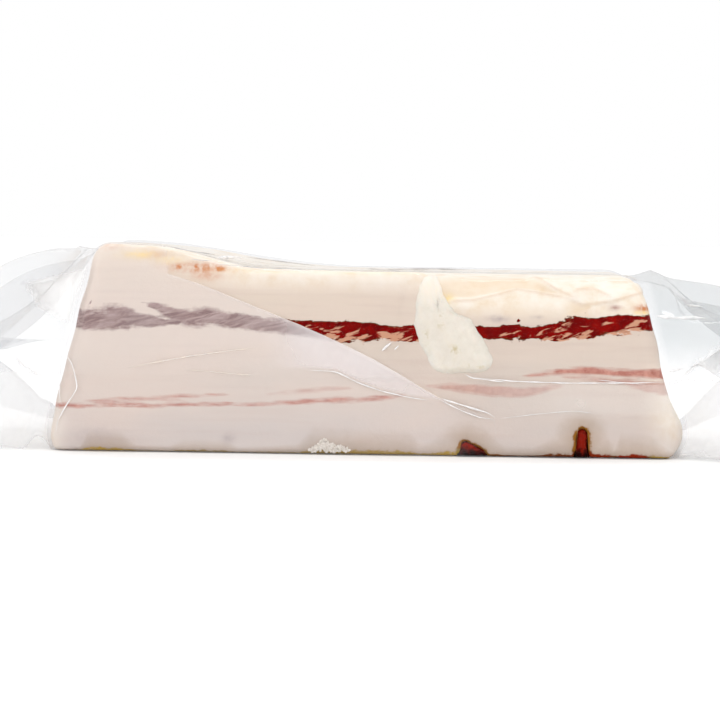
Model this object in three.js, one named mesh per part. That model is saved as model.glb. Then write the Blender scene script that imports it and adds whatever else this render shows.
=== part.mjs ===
// A slab of salted pork belly sealed in a clear vacuum pouch, lying on its rind.
// Millimetres, +Z up. The origin is under the middle of the pouch, on the surface it lies on.
// The long cut face that shows the lean streaks looks along -Y; +X is the right-hand end.
import * as THREE from "three";

const { clamp, lerp, smoothstep } = THREE.MathUtils;

// The slab inside the pouch
const slab = {
  depth: 73, // from the long cut face to the back one
  seenHeight: 14, // where the stations along the slab are measured
  endRound: 5, // the upright corners bend over this length
  endPull: 2.45, // and draw in by this
};

// The slab's two ends: each slopes in towards the top, swells low down and draws in at its foot
const ends = {
  left: { reach: 87.4, lean: 0.25, bulge: 0, bulgeHeight: 9, bulgeRun: 7, tuck: 2.1, tuckRun: 4 },
  right: { reach: 86.2, lean: 0.235, bulge: 2.2, bulgeHeight: 9, bulgeRun: 7, tuck: 2.2, tuckRun: 3 },
};

// Height of the top: along the front edge and along the back one
const top = {
  front: 50.3,
  frontPeak: 6.5, // the left end stands this much higher
  frontPeakFrom: -30,
  frontPeakRun: 40,
  back: 49.7,
  backPeak: 6.6,
  backPeakFrom: 0,
  backPeakRun: 78,
  endDrop: 1.5, // the top bends down by this at its two ends
  sag: 1.2, // the middle of the top lies this much lower
};

// Fillets along the four long edges
const fillet = {
  topFront: 3.5,
  topFrontSoft: 9, // added where the membrane rolls over the right part of the edge
  softFrom: 12,
  softRun: 18,
  topBack: 6,
  bottom: 2.2,
};

// A tongue of fat hangs over the front face, and the film follows it
const tongue = {
  proud: 2.4,
  outline: [
    { z: 49.5, left: 14.6, right: 18 },
    { z: 44, left: 13.9, right: 20.6 },
    { z: 38.5, left: 13.1, right: 25 },
    { z: 34, left: 13, right: 30 },
    { z: 29.5, left: 14.2, right: 33 },
    { z: 24, left: 17.5, right: 33.6 },
  ],
};
const waves = { height: 0.7, length: 58, climb: 20 }; // unevenness of the cut faces
const wallShare = { from: 0.42, to: 0.49 }; // of the depth, where the walls start

// Slits cut through the rind, into which the film is drawn a little
const slits = [
  { middle: 28.8, halfWidth: 3.8, depth: 2.4 },
  { middle: 58.4, halfWidth: 2.4, depth: 2.8 },
];
const slitFade = 12; // the film above a slit is undisturbed from this height up

// The pouch beyond the slab: film that runs out to a flat seal
const pouch = {
  halfLength: 131, // to the cut edge of each seal
  cornerSetBack: 5, // the seal's two corners lie this much closer in
  sealThickness: 1.6,
  sealTaper: 4, // the seal thins out over one part in this many at its two corners
  pleatHeight: 1.5,
  pleats: 4,
  pleatsFrom: [0.25, 0.4], // shares of the seal's width where the pleats set in
  pleatsTo: [0.65, 0.78], // and where they end
  seamFront: 21, // height of the side seams on the slab
  seamBack: 25,
  seamProud: 0.9, // the side seams stand this far out
};

// The pouch's two ends. The seal is its edge seen from the end, front to back: (y, z) of the
// points that it bends at. A flap bends from its reach on. The powers say how the film goes from
// there to the seal's line: above 1 it goes late, and below 1 it goes early
const leftFlap = {
  reach: 78,
  seal: [
    [-50, 40],
    [-43, 1.5],
    [-20, 13],
    [2, 27],
    [24, 17],
    [40, 11],
    [47, 27],
  ],
  spread: 0.9, // of the way forwards or back
  seam: 0.9, // at the two side seams
  ridge: 3, // at the two ridges that run out from the slab's top corners
  ridgeAt: [0.22, 0.8], // shares of the film's width, from the front seam to the back one
  middle: 0.4, // in the trough between them, where the film clings to the slab's end
  floor: 1.3, // of the film below the ridges
  cling: 0.07, // share of the way down that the ridges go along the slab's end
  arch: 3.4, // the lower film stands this high where it leaves the slab
};
const rightFlap = {
  reach: 84,
  seal: [
    [-58, 43],
    [-52, 1.5],
    [-24, 11],
    [0, 30],
    [20, 22],
    [36, 14],
    [45, 26],
  ],
  spread: 0.5,
  seam: 0.5,
  ridge: 3.5,
  ridgeAt: [0.27, 0.8],
  middle: 0.4,
  floor: 1.3,
  cling: 0.17,
  arch: 0.6,
};
const ridgeWidth = 0.09; // as a share of the film's width
const seamWidth = 0.1;
const archRun = 0.16; // share of the way out to the seal
const clingRun = 0.03; // the same

const slabLength = ends.left.reach + ends.right.reach;

// Steps of the mesh
const steps = {
  wallFront: 9,
  fillet: 3,
  across: 8,
  wallBack: 4,
  flap: 11,
  flapCrowding: 1.35, // above 1, a flap's rings are closer near the slab
  slab: 30,
  tongue: 16,
  crowding: 0.5, // above 0, the slab's rings are closer near its ends
  closest: 0.005, // a ring nearer than this share of the length is left out
  slope: 0.01, // share of the seal's width over which its slope is taken
};

function topFrontHeight(x) {
  return top.front + top.frontPeak * smoothstep(top.frontPeakFrom - x, 0, top.frontPeakRun);
}

function topBackHeight(x) {
  return top.back + top.backPeak * smoothstep(top.backPeakFrom - x, 0, top.backPeakRun);
}

// How far from the middle a slab's end lies at height z
function endReach(end, z) {
  const swell = end.bulge * bump(z - end.bulgeHeight, end.bulgeRun);
  return end.reach - end.lean * z + swell - end.tuck * bump(z, end.tuckRun);
}

// The place along the slab at share a of its length and height z
function along(a, z) {
  return lerp(-endReach(ends.left, z), endReach(ends.right, z), a);
}

// How far the fat tongue stands out of the front face
function tongueRelief(x, z) {
  const { outline, proud } = tongue;
  const found = outline.findIndex((row) => row.z <= z);
  const i = found < 0 ? outline.length - 1 : Math.max(1, found);
  const share = clamp((outline[i - 1].z - z) / (outline[i - 1].z - outline[i].z), 0, 1);
  const left = lerp(outline[i - 1].left, outline[i].left, share);
  const right = lerp(outline[i - 1].right, outline[i].right, share);
  const across = (x - left) / (right - left);
  const side = smoothstep(across, -0.1, 0.3) * smoothstep(1 - across, -0.1, 0.3);
  const tip = smoothstep(z, outline.at(-1).z - 2, outline.at(-1).z + 4);
  const root = smoothstep(outline[0].z - z, -2, 6);
  return proud * side * tip * root;
}

function slitDepth(x) {
  let depth = 0;
  for (const slit of slits) {
    const off = Math.abs(x - slit.middle) / slit.halfWidth;
    if (off < 1) depth = slit.depth * (1 - off * off);
  }
  return depth;
}

// Samples of a bent line in the YZ plane: even steps on the straights and on the rounded corners
function bentLine(corners, radii) {
  const straightSteps = [steps.wallFront, steps.across, steps.wallBack];
  const points = [];
  let from = corners[0];
  for (let i = 1; i < corners.length; i += 1) {
    const corner = corners[i];
    const last = i === corners.length - 1;
    const radius = last ? 0 : radii[i - 1];
    const inward = corners[i - 1].clone().sub(corner).normalize();
    const to = corner.clone().addScaledVector(inward, radius);
    for (let k = 0; k < straightSteps[i - 1]; k += 1) {
      points.push(from.clone().lerp(to, k / straightSteps[i - 1]));
    }
    if (last) {
      points.push(to);
      break;
    }
    const onward = corners[i + 1].clone().sub(corner).normalize();
    const after = corner.clone().addScaledVector(onward, radius);
    const arc = new THREE.QuadraticBezierCurve(to, corner, after);
    for (let k = 0; k < steps.fillet; k += 1) points.push(arc.getPoint(k / steps.fillet));
    from = after;
  }
  return points;
}

// The two films round the slab at x: each runs from the front seam to the back one
function slabFilms(x, endShare) {
  const halfDepth = slab.depth / 2 - slab.endPull * endShare ** 2;
  const drop = top.endDrop * endShare ** 2;
  const soft = fillet.topFrontSoft * smoothstep(x - fillet.softFrom, 0, fillet.softRun);
  const seamFront = new THREE.Vector2(-halfDepth, pouch.seamFront);
  const seamBack = new THREE.Vector2(halfDepth, pouch.seamBack);
  const topFront = new THREE.Vector2(-halfDepth, topFrontHeight(x) - drop);
  const topBack = new THREE.Vector2(halfDepth, topBackHeight(x) - drop);
  const lowFront = new THREE.Vector2(-halfDepth, 0);
  const lowBack = new THREE.Vector2(halfDepth, 0);
  return {
    over: bentLine([seamFront, topFront, topBack, seamBack], [fillet.topFront + soft, fillet.topBack]),
    under: bentLine([seamFront, lowFront, lowBack, seamBack], [fillet.bottom, fillet.bottom]),
  };
}

// The relief of the food, felt through the film
function withRelief(point, x) {
  const { x: y, y: z } = point;
  const wall = smoothstep(Math.abs(y), wallShare.from * slab.depth, wallShare.to * slab.depth);
  const turn = (2 * Math.PI * x) / waves.length + z / waves.climb + Math.sign(y);
  const wave = waves.height * Math.sin(turn);
  const inset = wall * wave * smoothstep(z, 0, 2 * fillet.bottom);
  const flat = 1 - wall;
  const sag = z > top.back / 2 ? flat * top.sag * Math.cos((Math.PI * y) / slab.depth) : 0;
  const lift = slitDepth(x) * Math.max(0, 1 - z / slitFade);
  const proud = y < 0 ? wall * tongueRelief(x, z) : 0;
  return new THREE.Vector2(y - Math.sign(y) * inset - proud, z - sag + lift);
}

// The seal's middle line and its normal at share v of its width
function sealLine(seal, v) {
  const curve = new THREE.SplineCurve(seal.map(([y, z]) => new THREE.Vector2(y, z)));
  const before = curve.getPoint(Math.max(0, v - steps.slope));
  const slope = curve.getPoint(Math.min(1, v + steps.slope)).sub(before).normalize();
  return { point: curve.getPoint(v), normal: new THREE.Vector2(-slope.y, slope.x) };
}

// Shares of the seal's width for the samples of a film
function widthShares(line) {
  const shares = [0];
  for (let i = 1; i < line.length; i += 1) shares.push(shares[i - 1] + line[i].distanceTo(line[i - 1]));
  const whole = shares[shares.length - 1];
  return shares.map((share) => share / whole);
}

// How much of its way a film has gone at share s, for one of the powers above
function gone(s, power) {
  return power < 1 ? 1 - (1 - s) ** (1 / power) : s ** power;
}

// 1 at the middle of a bump, and near 0 beyond its width
function bump(off, width) {
  return Math.exp(-((off / width) ** 2));
}

// How much of its way down a film has gone at share s of the way out and v of its width: it goes
// late at the two ridges and early in the middle
function fallen(flap, s, v, isOver) {
  const near = Math.max(...flap.ridgeAt.map((at) => bump(v - at, ridgeWidth)));
  const edge = Math.max(bump(v, seamWidth), bump(v - 1, seamWidth));
  const power = lerp(lerp(flap.middle, isOver ? flap.ridge : flap.floor, near), flap.seam, edge);
  const clung = isOver ? flap.cling * near * (1 - edge) * (1 - Math.exp(-s / clingRun)) : 0;
  return lerp(gone(s, power), 1, clung * (1 - s));
}

// One ring of the pouch: over the top from the front seam to the back one, and back below
function ring(side, t, a) {
  const centreX = along(a, slab.seenHeight);
  const endShare = Math.max(0, 1 - (Math.min(a, 1 - a) * slabLength) / slab.endRound);
  const { over, under } = slabFilms(centreX, endShare);
  const shares = widthShares(over);
  const flap = side < 0 ? leftFlap : rightFlap;
  const place = (point, v, isOver) => {
    const felt = withRelief(point, centreX);
    const x = along(a, felt.y);
    if (v === 0 || v === 1) felt.x += Math.sign(felt.x) * pouch.seamProud;
    if (t === 0) return new THREE.Vector3(x, felt.x, felt.y);
    const { point: line, normal } = sealLine(flap.seal, v);
    const lens = Math.min(1, pouch.sealTaper * Math.sin(Math.PI * v));
    const inside = smoothstep(v, ...pouch.pleatsFrom) * (1 - smoothstep(v, ...pouch.pleatsTo));
    const pleat = pouch.pleatHeight * Math.sin(2 * Math.PI * pouch.pleats * v) * inside;
    const off = pleat + (isOver ? 0.5 : -0.5) * pouch.sealThickness * lens;
    const far = line.clone().addScaledVector(normal, off);
    far.y = Math.max(far.y, isOver ? pouch.sealThickness : 0);
    const sealX = side * (pouch.halfLength - pouch.cornerSetBack * (2 * v - 1) ** 2);
    const outX = lerp(x, sealX, t);
    const reach = Math.max(Math.abs(x), flap.reach);
    const out = clamp((Math.abs(outX) - reach) / (Math.abs(sealX) - reach), 0, 1);
    const arch = isOver || out > archRun ? 0 : flap.arch * lens * Math.sin((Math.PI * out) / archRun);
    return new THREE.Vector3(
      outX,
      lerp(felt.x, far.x, gone(out, flap.spread)),
      lerp(felt.y, far.y, fallen(flap, out, v, isOver)) + arch,
    );
  };
  const overPoints = over.map((point, i) => place(point, shares[i], true));
  const underPoints = under.map((point, i) => place(point, shares[i], false));
  return [...overPoints, ...underPoints.slice(1, -1).reverse()];
}

// Stations on the slab, as shares of its length: closer at the ends, the slits and the tongue
function slabStations() {
  const shares = [];
  for (let k = 0; k <= steps.slab; k += 1) {
    const even = k / steps.slab;
    shares.push(even - (steps.crowding * Math.sin(2 * Math.PI * even)) / (2 * Math.PI));
  }
  const shareOf = (x) => (x + ends.left.reach) / slabLength;
  for (const { middle, halfWidth } of slits) {
    for (const off of [-1, -0.5, 0, 0.5, 1]) shares.push(shareOf(middle + off * halfWidth));
  }
  const rows = tongue.outline;
  for (let k = 0; k <= steps.tongue; k += 1) {
    shares.push(shareOf(lerp(rows[0].left - 3, rows.at(-1).right + 2, k / steps.tongue)));
  }
  shares.sort((p, q) => p - q);
  return shares.filter((a, i) => i === 0 || a - shares[i - 1] > steps.closest);
}

// Stations along the pouch: the left flap, the slab, the right flap
function stations() {
  const flap = [];
  for (let k = 1; k <= steps.flap; k += 1) flap.push((k / steps.flap) ** steps.flapCrowding);
  return [
    ...flap.toReversed().map((t) => ({ side: -1, t, a: 0 })),
    ...slabStations().map((a) => ({ side: 0, t: 0, a })),
    ...flap.map((t) => ({ side: 1, t, a: 1 })),
  ];
}

// Joins the rings into one closed skin, with a strip across each seal's cut edge
function pouchGeometry() {
  const rings = stations().map(({ side, t, a }) => ring(side, t, a));
  const count = rings[0].length;
  const half = count / 2;
  const positions = rings.flatMap((points) => points.flatMap((p) => [p.x, p.y, p.z]));
  const index = [];
  const spot = (i) => rings[Math.floor(i / count)][i % count];
  const quad = (p, q, r, s) => {
    if (spot(p).distanceTo(spot(r)) < spot(q).distanceTo(spot(s))) index.push(p, q, r, p, r, s);
    else index.push(p, q, s, q, r, s);
  };
  for (let i = 0; i + 1 < rings.length; i += 1) {
    for (let j = 0; j < count; j += 1) {
      const next = (j + 1) % count;
      quad(i * count + j, (i + 1) * count + j, (i + 1) * count + next, i * count + next);
    }
  }
  const edge = (start, flip) => {
    for (let j = 0; j < half; j += 1) {
      const over = start + j;
      const under = start + ((count - j) % count);
      const overNext = start + j + 1;
      const underNext = start + count - j - 1;
      const tri = (p, q, r) => {
        if (p !== q && q !== r && p !== r) index.push(...(flip ? [p, r, q] : [p, q, r]));
      };
      tri(over, under, underNext);
      tri(over, underNext, overNext);
    }
  };
  edge(0, true);
  edge((rings.length - 1) * count, false);
  const geometry = new THREE.BufferGeometry();
  geometry.setAttribute("position", new THREE.Float32BufferAttribute(positions, 3));
  geometry.setIndex(index);
  return geometry;
}

function sealedPack() {
  const geometry = pouchGeometry();
  geometry.computeBoundingBox();
  const middle = geometry.boundingBox.getCenter(new THREE.Vector3());
  geometry.translate(-middle.x, -middle.y, -geometry.boundingBox.min.z);
  geometry.computeVertexNormals();
  const material = new THREE.MeshStandardMaterial({ color: "#e9ddd3", roughness: 0.25, metalness: 0 });
  const mesh = new THREE.Mesh(geometry, material);
  mesh.name = "sealed_pack";
  return mesh;
}

const pack = new THREE.Group();
pack.add(sealedPack());

export default pack;
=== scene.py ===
import math
from functools import partial
import bmesh
import bpy
import numpy as np
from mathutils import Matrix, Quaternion, Vector
from mathutils.bvhtree import BVHTree


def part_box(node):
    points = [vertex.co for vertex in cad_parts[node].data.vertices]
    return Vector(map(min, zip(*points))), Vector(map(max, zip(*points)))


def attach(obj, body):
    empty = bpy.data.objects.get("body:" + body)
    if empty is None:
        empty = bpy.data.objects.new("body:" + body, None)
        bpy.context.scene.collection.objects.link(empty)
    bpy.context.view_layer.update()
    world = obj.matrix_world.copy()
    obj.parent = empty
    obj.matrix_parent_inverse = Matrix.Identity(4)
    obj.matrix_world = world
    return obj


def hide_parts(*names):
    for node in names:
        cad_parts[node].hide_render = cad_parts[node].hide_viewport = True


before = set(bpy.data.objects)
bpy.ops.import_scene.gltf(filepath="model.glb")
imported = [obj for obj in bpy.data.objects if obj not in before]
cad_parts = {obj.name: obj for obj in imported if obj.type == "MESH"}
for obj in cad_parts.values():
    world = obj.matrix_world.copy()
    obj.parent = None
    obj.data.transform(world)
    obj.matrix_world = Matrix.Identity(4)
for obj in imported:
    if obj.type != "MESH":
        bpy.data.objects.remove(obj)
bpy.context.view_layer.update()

mm = 0.001

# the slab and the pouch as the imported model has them, in mm
slab = {"depth": 73, "seenHeight": 14, "endRound": 5, "endPull": 2.45}
leftEnd = {"reach": 87.4, "lean": 0.25, "bulge": 0, "bulgeHeight": 9, "bulgeRun": 7,
           "tuck": 2.1, "tuckRun": 4}
rightEnd = {"reach": 86.2, "lean": 0.235, "bulge": 2.2, "bulgeHeight": 9, "bulgeRun": 7,
            "tuck": 2.2, "tuckRun": 3}
top = {"front": 50.3, "frontPeak": 6.5, "frontPeakFrom": -30, "frontPeakRun": 40,
       "back": 49.7, "backPeak": 6.6, "backPeakFrom": 0, "backPeakRun": 78,
       "endDrop": 1.5, "sag": 1.2}
fillet = {"topFront": 3.5, "topFrontSoft": 9, "softFrom": 12, "softRun": 18,
          "topBack": 6, "bottom": 2.2}
waves = {"height": 0.7, "length": 58}
pouch = {"halfLength": 131, "cornerSetBack": 5, "sealThickness": 0.3, "pleatHeight": 1.5,
         "pleats": 4, "seamFront": 21, "seamBack": 25, "seamProud": 0.4}
leftFlap = {"reach": 78, "spread": 0.9, "seam": 0.9, "ridge": 3, "ridgeAt": (0.22, 0.8),
            "middle": 0.4, "floor": 1.3, "cling": 0.07, "arch": 3.4,
            "seal": [(-50, 40), (-43, 1.5), (-20, 13), (2, 27), (24, 17), (40, 11), (47, 27)]}
rightFlap = {"reach": 84, "spread": 0.5, "seam": 0.5, "ridge": 3.5, "ridgeAt": (0.27, 0.8),
             "middle": 0.4, "floor": 1.3, "cling": 0.17, "arch": 0.6,
             "seal": [(-58, 43), (-52, 1.5), (-24, 11), (0, 30), (20, 22), (36, 14), (45, 26)]}
flapForm = {"ridgeWidth": 0.09, "seamWidth": 0.1, "archRun": 0.16, "clingRun": 0.03}

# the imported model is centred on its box, so the slab's middle lies this far back
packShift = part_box("sealed_pack")[1].y / mm - leftFlap["seal"][-1][0]
faceY = packShift - slab["depth"] / 2  # the plane of the long cut face
backY = packShift + slab["depth"] / 2

# the camera stands level with the slab, as for a shop photograph
shot = {
    "distance": 750,  # mm to the long face
    "lift": math.radians(3.5),
    "roll": math.radians(0.85),
    "width": 194.4,  # mm that the frame takes in at the long face
    "aim": (-1.6, faceY, 25.9),
}
shotBack = np.array([0, -math.cos(shot["lift"]), math.sin(shot["lift"])])
eye = np.array(shot["aim"]) + shotBack * shot["distance"]


def toLinear(hexColour):
    parts = [int(hexColour[i:i + 2], 16) / 255 for i in (1, 3, 5)]
    return (*(c / 12.92 if c <= 0.04045 else ((c + 0.055) / 1.055) ** 2.4 for c in parts), 1)


def smooth(value, low, high):
    share = np.clip((value - low) / (high - low), 0, 1)
    return share * share * (3 - 2 * share)


def mix(low, high, share):
    return low + (high - low) * share


def bump(off, width):
    return np.exp(-((off / width) ** 2))


def onFace(points):
    # where the camera sees a point against the plane of the long face, as x and z in mm
    share = (faceY - eye[1]) / (points[:, 1] - eye[1])
    spots = eye + (points - eye) * share[:, None]
    return spots[:, 0], spots[:, 2]


def lumps(points, size, seed):
    # even unevenness between -1 and 1, with swellings about as wide as size
    draw = np.random.default_rng(seed)
    total = np.zeros(len(points))
    for _ in range(9):
        way = draw.normal(size=3)
        way *= draw.uniform(0.6, 1.5) * math.pi / size / np.linalg.norm(way)
        total += np.sin(points @ way + draw.uniform(0, 2 * math.pi))
    return total / 5


def bandFaces(a, b, count):
    # the faces between two closed rings of points that start at a and b
    return [(a + k, b + k, b + (k + 1) % count, a + (k + 1) % count) for k in range(count)]


def setAttributes(mesh, attributes):
    for key, values in attributes.items():
        layer = mesh.attributes.new(key, "FLOAT_VECTOR", "POINT")
        layer.data.foreach_set("vector", np.asarray(values, np.float32).ravel())


def addPiece(name, data):
    piece = bpy.data.objects.new(name, data)
    bpy.context.scene.collection.objects.link(piece)
    return piece


def makeMesh(name, points, faces, material, attributes=None):
    mesh = bpy.data.meshes.new(name)
    mesh.from_pydata((np.asarray(points) * mm).tolist(), [], faces)
    work = bmesh.new()
    work.from_mesh(mesh)
    bmesh.ops.recalc_face_normals(work, faces=work.faces)
    work.to_mesh(mesh)
    work.free()
    mesh.shade_smooth()
    setAttributes(mesh, attributes or {})
    mesh.materials.append(material)
    return addPiece(name, mesh)


def finishPiece(piece):
    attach(piece, "root")
    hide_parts("sealed_pack")
    print("piece", piece.name, len(piece.data.polygons), "faces")


def setInputs(node, values):
    # each value is a number, a colour as hex, or the socket to link
    for key, value in values.items():
        if isinstance(value, bpy.types.NodeSocket):
            node.id_data.links.new(value, node.inputs[key])
        else:
            isHex = isinstance(value, str)
            node.inputs[key].default_value = toLinear(value) if isHex else value


def addNode(tree, kind, inputs=None, out=0, stops=(), **settings):
    # one node with its settings, its inputs and a ramp's stops, of which the two ends come first
    node = tree.nodes.new(kind)
    for key, value in settings.items():
        setattr(node, key, value)
    setInputs(node, inputs or {})
    for i, (at, hexColour) in enumerate(stops):
        stop = node.color_ramp.elements[i] if i < 2 else node.color_ramp.elements.new(at)
        stop.position = at
        stop.color = toLinear(hexColour)
    return node.outputs[out]


def newMaterial(name):
    # the material, addNode for its tree, its shader and its output
    material = bpy.data.materials.new(name)
    material.use_nodes = True
    nodes = material.node_tree.nodes
    add = partial(addNode, material.node_tree)
    return material, add, nodes["Principled BSDF"], nodes["Material Output"]


def spotsInMm(add, stretch=(1, 1, 1), turn=(0, 0, 0)):
    place = add("ShaderNodeTexCoord", out="Object")
    turned = add("ShaderNodeMapping", {"Vector": place, "Rotation": turn})
    return add("ShaderNodeMapping", {"Vector": turned, "Scale": tuple(s / mm for s in stretch)})


def attributeParts(add, name):
    values = add("ShaderNodeAttribute", out="Vector", attribute_name=name)
    return add("ShaderNodeSeparateXYZ", {0: values}).node.outputs


def heightInMm(add, spots):
    return add("ShaderNodeSeparateXYZ", {0: spots}).node.outputs["Z"]


def layered(add, base, layers):
    # colours laid over a base one by one, each by its own share
    for share, over in layers:
        base = add("ShaderNodeMix", {0: share, 6: base, 7: over}, 2, data_type="RGBA")
    return base


# camera, floor and light
studio = {
    "floorSize": 6000,
    "floor": ("#F7F7F6", "#FAFAFA"),
    "world": 1.0,
    "boxes": [  # place, what it looks at, width, height, watts
        ((-993, -370, 281), (-84, -26, 42), 200, 260, 1.5),
        ((700, -650, 480), (40, -20, 30), 200, 200, 1.2),
        ((-100, 350, 1000), (0, 0, 30), 500, 150, 1.4),
    ],
    "ceiling": 0.4,  # an even light from above keeps the card white
    "ceilingSpread": math.radians(120),
}


def makeCamera():
    data = bpy.data.cameras.new("camera")
    camera = addPiece("camera", data)
    camera.location = Vector(eye) * mm
    camera.rotation_mode = "QUATERNION"
    turn = Vector(shotBack).to_track_quat("Z", "Y")
    camera.rotation_quaternion = turn @ Quaternion((0, 0, 1), shot["roll"])
    data.sensor_width = 36
    data.lens = data.sensor_width * shot["distance"] / shot["width"]
    data.clip_start = 0.01
    bpy.context.scene.camera = camera


def makeStudio():
    world = bpy.data.worlds.new("studio")
    bpy.context.scene.world = world
    world.use_nodes = True
    sky = world.node_tree.nodes["Background"]
    setInputs(sky, {"Color": "#FFFFFF", "Strength": studio["world"]})
    bpy.context.scene.view_settings.view_transform = "Standard"
    for i, (place, target, width, height, watts) in enumerate(studio["boxes"]):
        data = bpy.data.lights.new("softbox_%d" % i, "AREA")
        data.shape = "RECTANGLE"
        data.size = width * mm
        data.size_y = height * mm
        data.energy = watts
        box = addPiece(data.name, data)
        box.location = Vector(place) * mm
        away = Vector(place) - Vector(target)
        box.rotation_mode = "QUATERNION"
        box.rotation_quaternion = away.to_track_quat("Z", "Y")
        box.visible_camera = False
    data = bpy.data.lights.new("ceiling", "SUN")
    data.energy = studio["ceiling"]
    data.angle = studio["ceilingSpread"]
    addPiece("ceiling", data)
    half = studio["floorSize"] / 2
    corners = [(-half, -half, 0), (half, -half, 0), (half, half, 0), (-half, half, 0)]
    paper, add, shader, _ = newMaterial("matt white card")
    grain = add("ShaderNodeTexNoise", {"Vector": spotsInMm(add), "Scale": 0.8})
    plain, bright = studio["floor"]
    tone = layered(add, plain, [(grain, bright)])
    setInputs(shader, {"Base Color": tone, "Roughness": 0.9, "Specular IOR Level": 0.1})
    makeMesh("floor", np.array(corners, float), [(0, 1, 2, 3)], paper)


makeCamera()
makeStudio()
print("camera and studio are set")


# the form of the pack: the rings of part.mjs, on finer steps
def topFrontHeight(x):
    peak = smooth(top["frontPeakFrom"] - x, 0, top["frontPeakRun"])
    return top["front"] + top["frontPeak"] * peak


def topBackHeight(x):
    return top["back"] + top["backPeak"] * smooth(top["backPeakFrom"] - x, 0, top["backPeakRun"])


def endReach(end, z):
    swell = end["bulge"] * bump(z - end["bulgeHeight"], end["bulgeRun"])
    return end["reach"] - end["lean"] * z + swell - end["tuck"] * bump(z, end["tuckRun"])


def alongSlab(a, z):
    # the place at share a of the slab's length and height z
    return mix(-endReach(leftEnd, z), endReach(rightEnd, z), a)


slabLength = leftEnd["reach"] + rightEnd["reach"]


def bentLine(corners, radii, counts):
    # even steps on the straights and the rounded corners, as (y, z)
    points = []
    start = corners[0]
    for i in (1, 2, 3):
        corner = corners[i]
        radius = radii[i - 1] if i < 3 else 0
        inward = (corners[i - 1] - corner) / np.linalg.norm(corners[i - 1] - corner)
        end = corner + inward * radius
        share = (np.arange(counts[2 * i - 2]) / counts[2 * i - 2])[:, None]
        points.append(mix(start, end, share))
        if i == 3:
            points.append(end[None])
            break
        onward = (corners[i + 1] - corner) / np.linalg.norm(corners[i + 1] - corner)
        start = corner + onward * radius
        share = (np.arange(counts[2 * i - 1]) / counts[2 * i - 1])[:, None]
        points.append((1 - share) ** 2 * end + 2 * share * (1 - share) * corner
                      + share ** 2 * start)
    return np.vstack(points)


def slabFilms(x, endShare, counts):
    half = slab["depth"] / 2 - slab["endPull"] * endShare ** 2
    drop = top["endDrop"] * endShare ** 2
    soft = fillet["topFrontSoft"] * smooth(x - fillet["softFrom"], 0, fillet["softRun"])
    front = np.array([-half, pouch["seamFront"]])
    back = np.array([half, pouch["seamBack"]])
    above = [front, np.array([-half, topFrontHeight(x) - drop]),
             np.array([half, topBackHeight(x) - drop]), back]
    below = [front, np.array([-half, 0.0]), np.array([half, 0.0]), back]
    over = bentLine(above, (fillet["topFront"] + soft, fillet["topBack"]), counts)
    under = bentLine(below, (fillet["bottom"], fillet["bottom"]), counts)
    return over, under


def endShareAt(a):
    return max(0, 1 - min(a, 1 - a) * slabLength / slab["endRound"])


def waveInset(x, y, z):
    # how far the unevenness of the two cut faces draws a point inward
    wall = smooth(np.abs(y), 0.42 * slab["depth"], 0.49 * slab["depth"])
    wave = waves["height"] * np.sin(2 * math.pi * x / waves["length"] + z / 20 + np.sign(y))
    return wall, wall * wave * smooth(z, 0, 2 * fillet["bottom"])


def withWaves(line, x):
    # the unevenness of the cut faces and the sag of the top
    y, z = line[:, 0], line[:, 1]
    wall, inset = waveInset(x, y, z)
    sag = np.where(z > top["back"] / 2,
                   (1 - wall) * top["sag"] * np.cos(math.pi * y / slab["depth"]), 0)
    return np.stack([y - np.sign(y) * inset, z - sag], 1), wall


# the tongue of fat: its left and right edge on the long face, (x, z) from its root to its tip
tongue = {
    "proud": 2.2,
    "left": [(15.3, 48.6), (13.6, 45.3), (13.0, 40.7), (12.6, 35.3), (13.6, 31.7),
             (16.3, 26.4), (18.6, 22.8)],
    "right": [(19.0, 48.6), (20.9, 43.8), (22.5, 40.8), (24.6, 38.7), (28.2, 37.7),
              (30.1, 34.6), (32.9, 30.2), (34.7, 26.7), (33.2, 23.2)],
    "filmProud": 2.4,  # the film stands this far out over it
    "filmTop": 50,
    "rows": 74,
    "columns": 60,
    # olive specks on it: x, z, half width and half height
    "specks": [(20.4, 37.0, 1.4, 2.2), (24.0, 29.0, 2.2, 1.6), (16, 33, 0.8, 3), (30, 25, 3, 1)],
}


def tongueRelief(x, z):
    left, right = np.array(tongue["left"])[::-1], np.array(tongue["right"])[::-1]
    low, high = np.interp(z, left[:, 1], left[:, 0]), np.interp(z, right[:, 1], right[:, 0])
    across = (x - low) / (high - low)
    side = smooth(across, -0.16, 0.08) * smooth(1 - across, -0.16, 0.08)
    tip = smooth(z, left[0, 1] - 2.2, left[0, 1] + 0.8)
    return tongue["filmProud"] * side * tip * smooth(tongue["filmTop"] - z, -2, 6)


def sealLine(rows, v):
    # the smooth curve through the seal's points that three.js draws
    rows = np.array(rows, float)
    last = len(rows) - 1
    spot = last * np.clip(v, 0, 1)
    i = np.minimum(np.floor(spot).astype(int), last)
    w = (spot - i)[:, None]
    p0, p1 = rows[np.maximum(i - 1, 0)], rows[i]
    p2, p3 = rows[np.minimum(i + 1, last)], rows[np.minimum(i + 2, last)]
    v0, v1 = (p2 - p0) / 2, (p3 - p1) / 2
    return ((2 * p1 - 2 * p2 + v0 + v1) * w ** 3 + (-3 * p1 + 3 * p2 - 2 * v0 - v1) * w ** 2
            + v0 * w + p1)


def gone(share, power):
    power = np.broadcast_to(power, share.shape)
    safe = np.maximum(power, 1e-6)
    return np.where(power < 1, 1 - (1 - share) ** (1 / safe), share ** safe)


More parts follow.
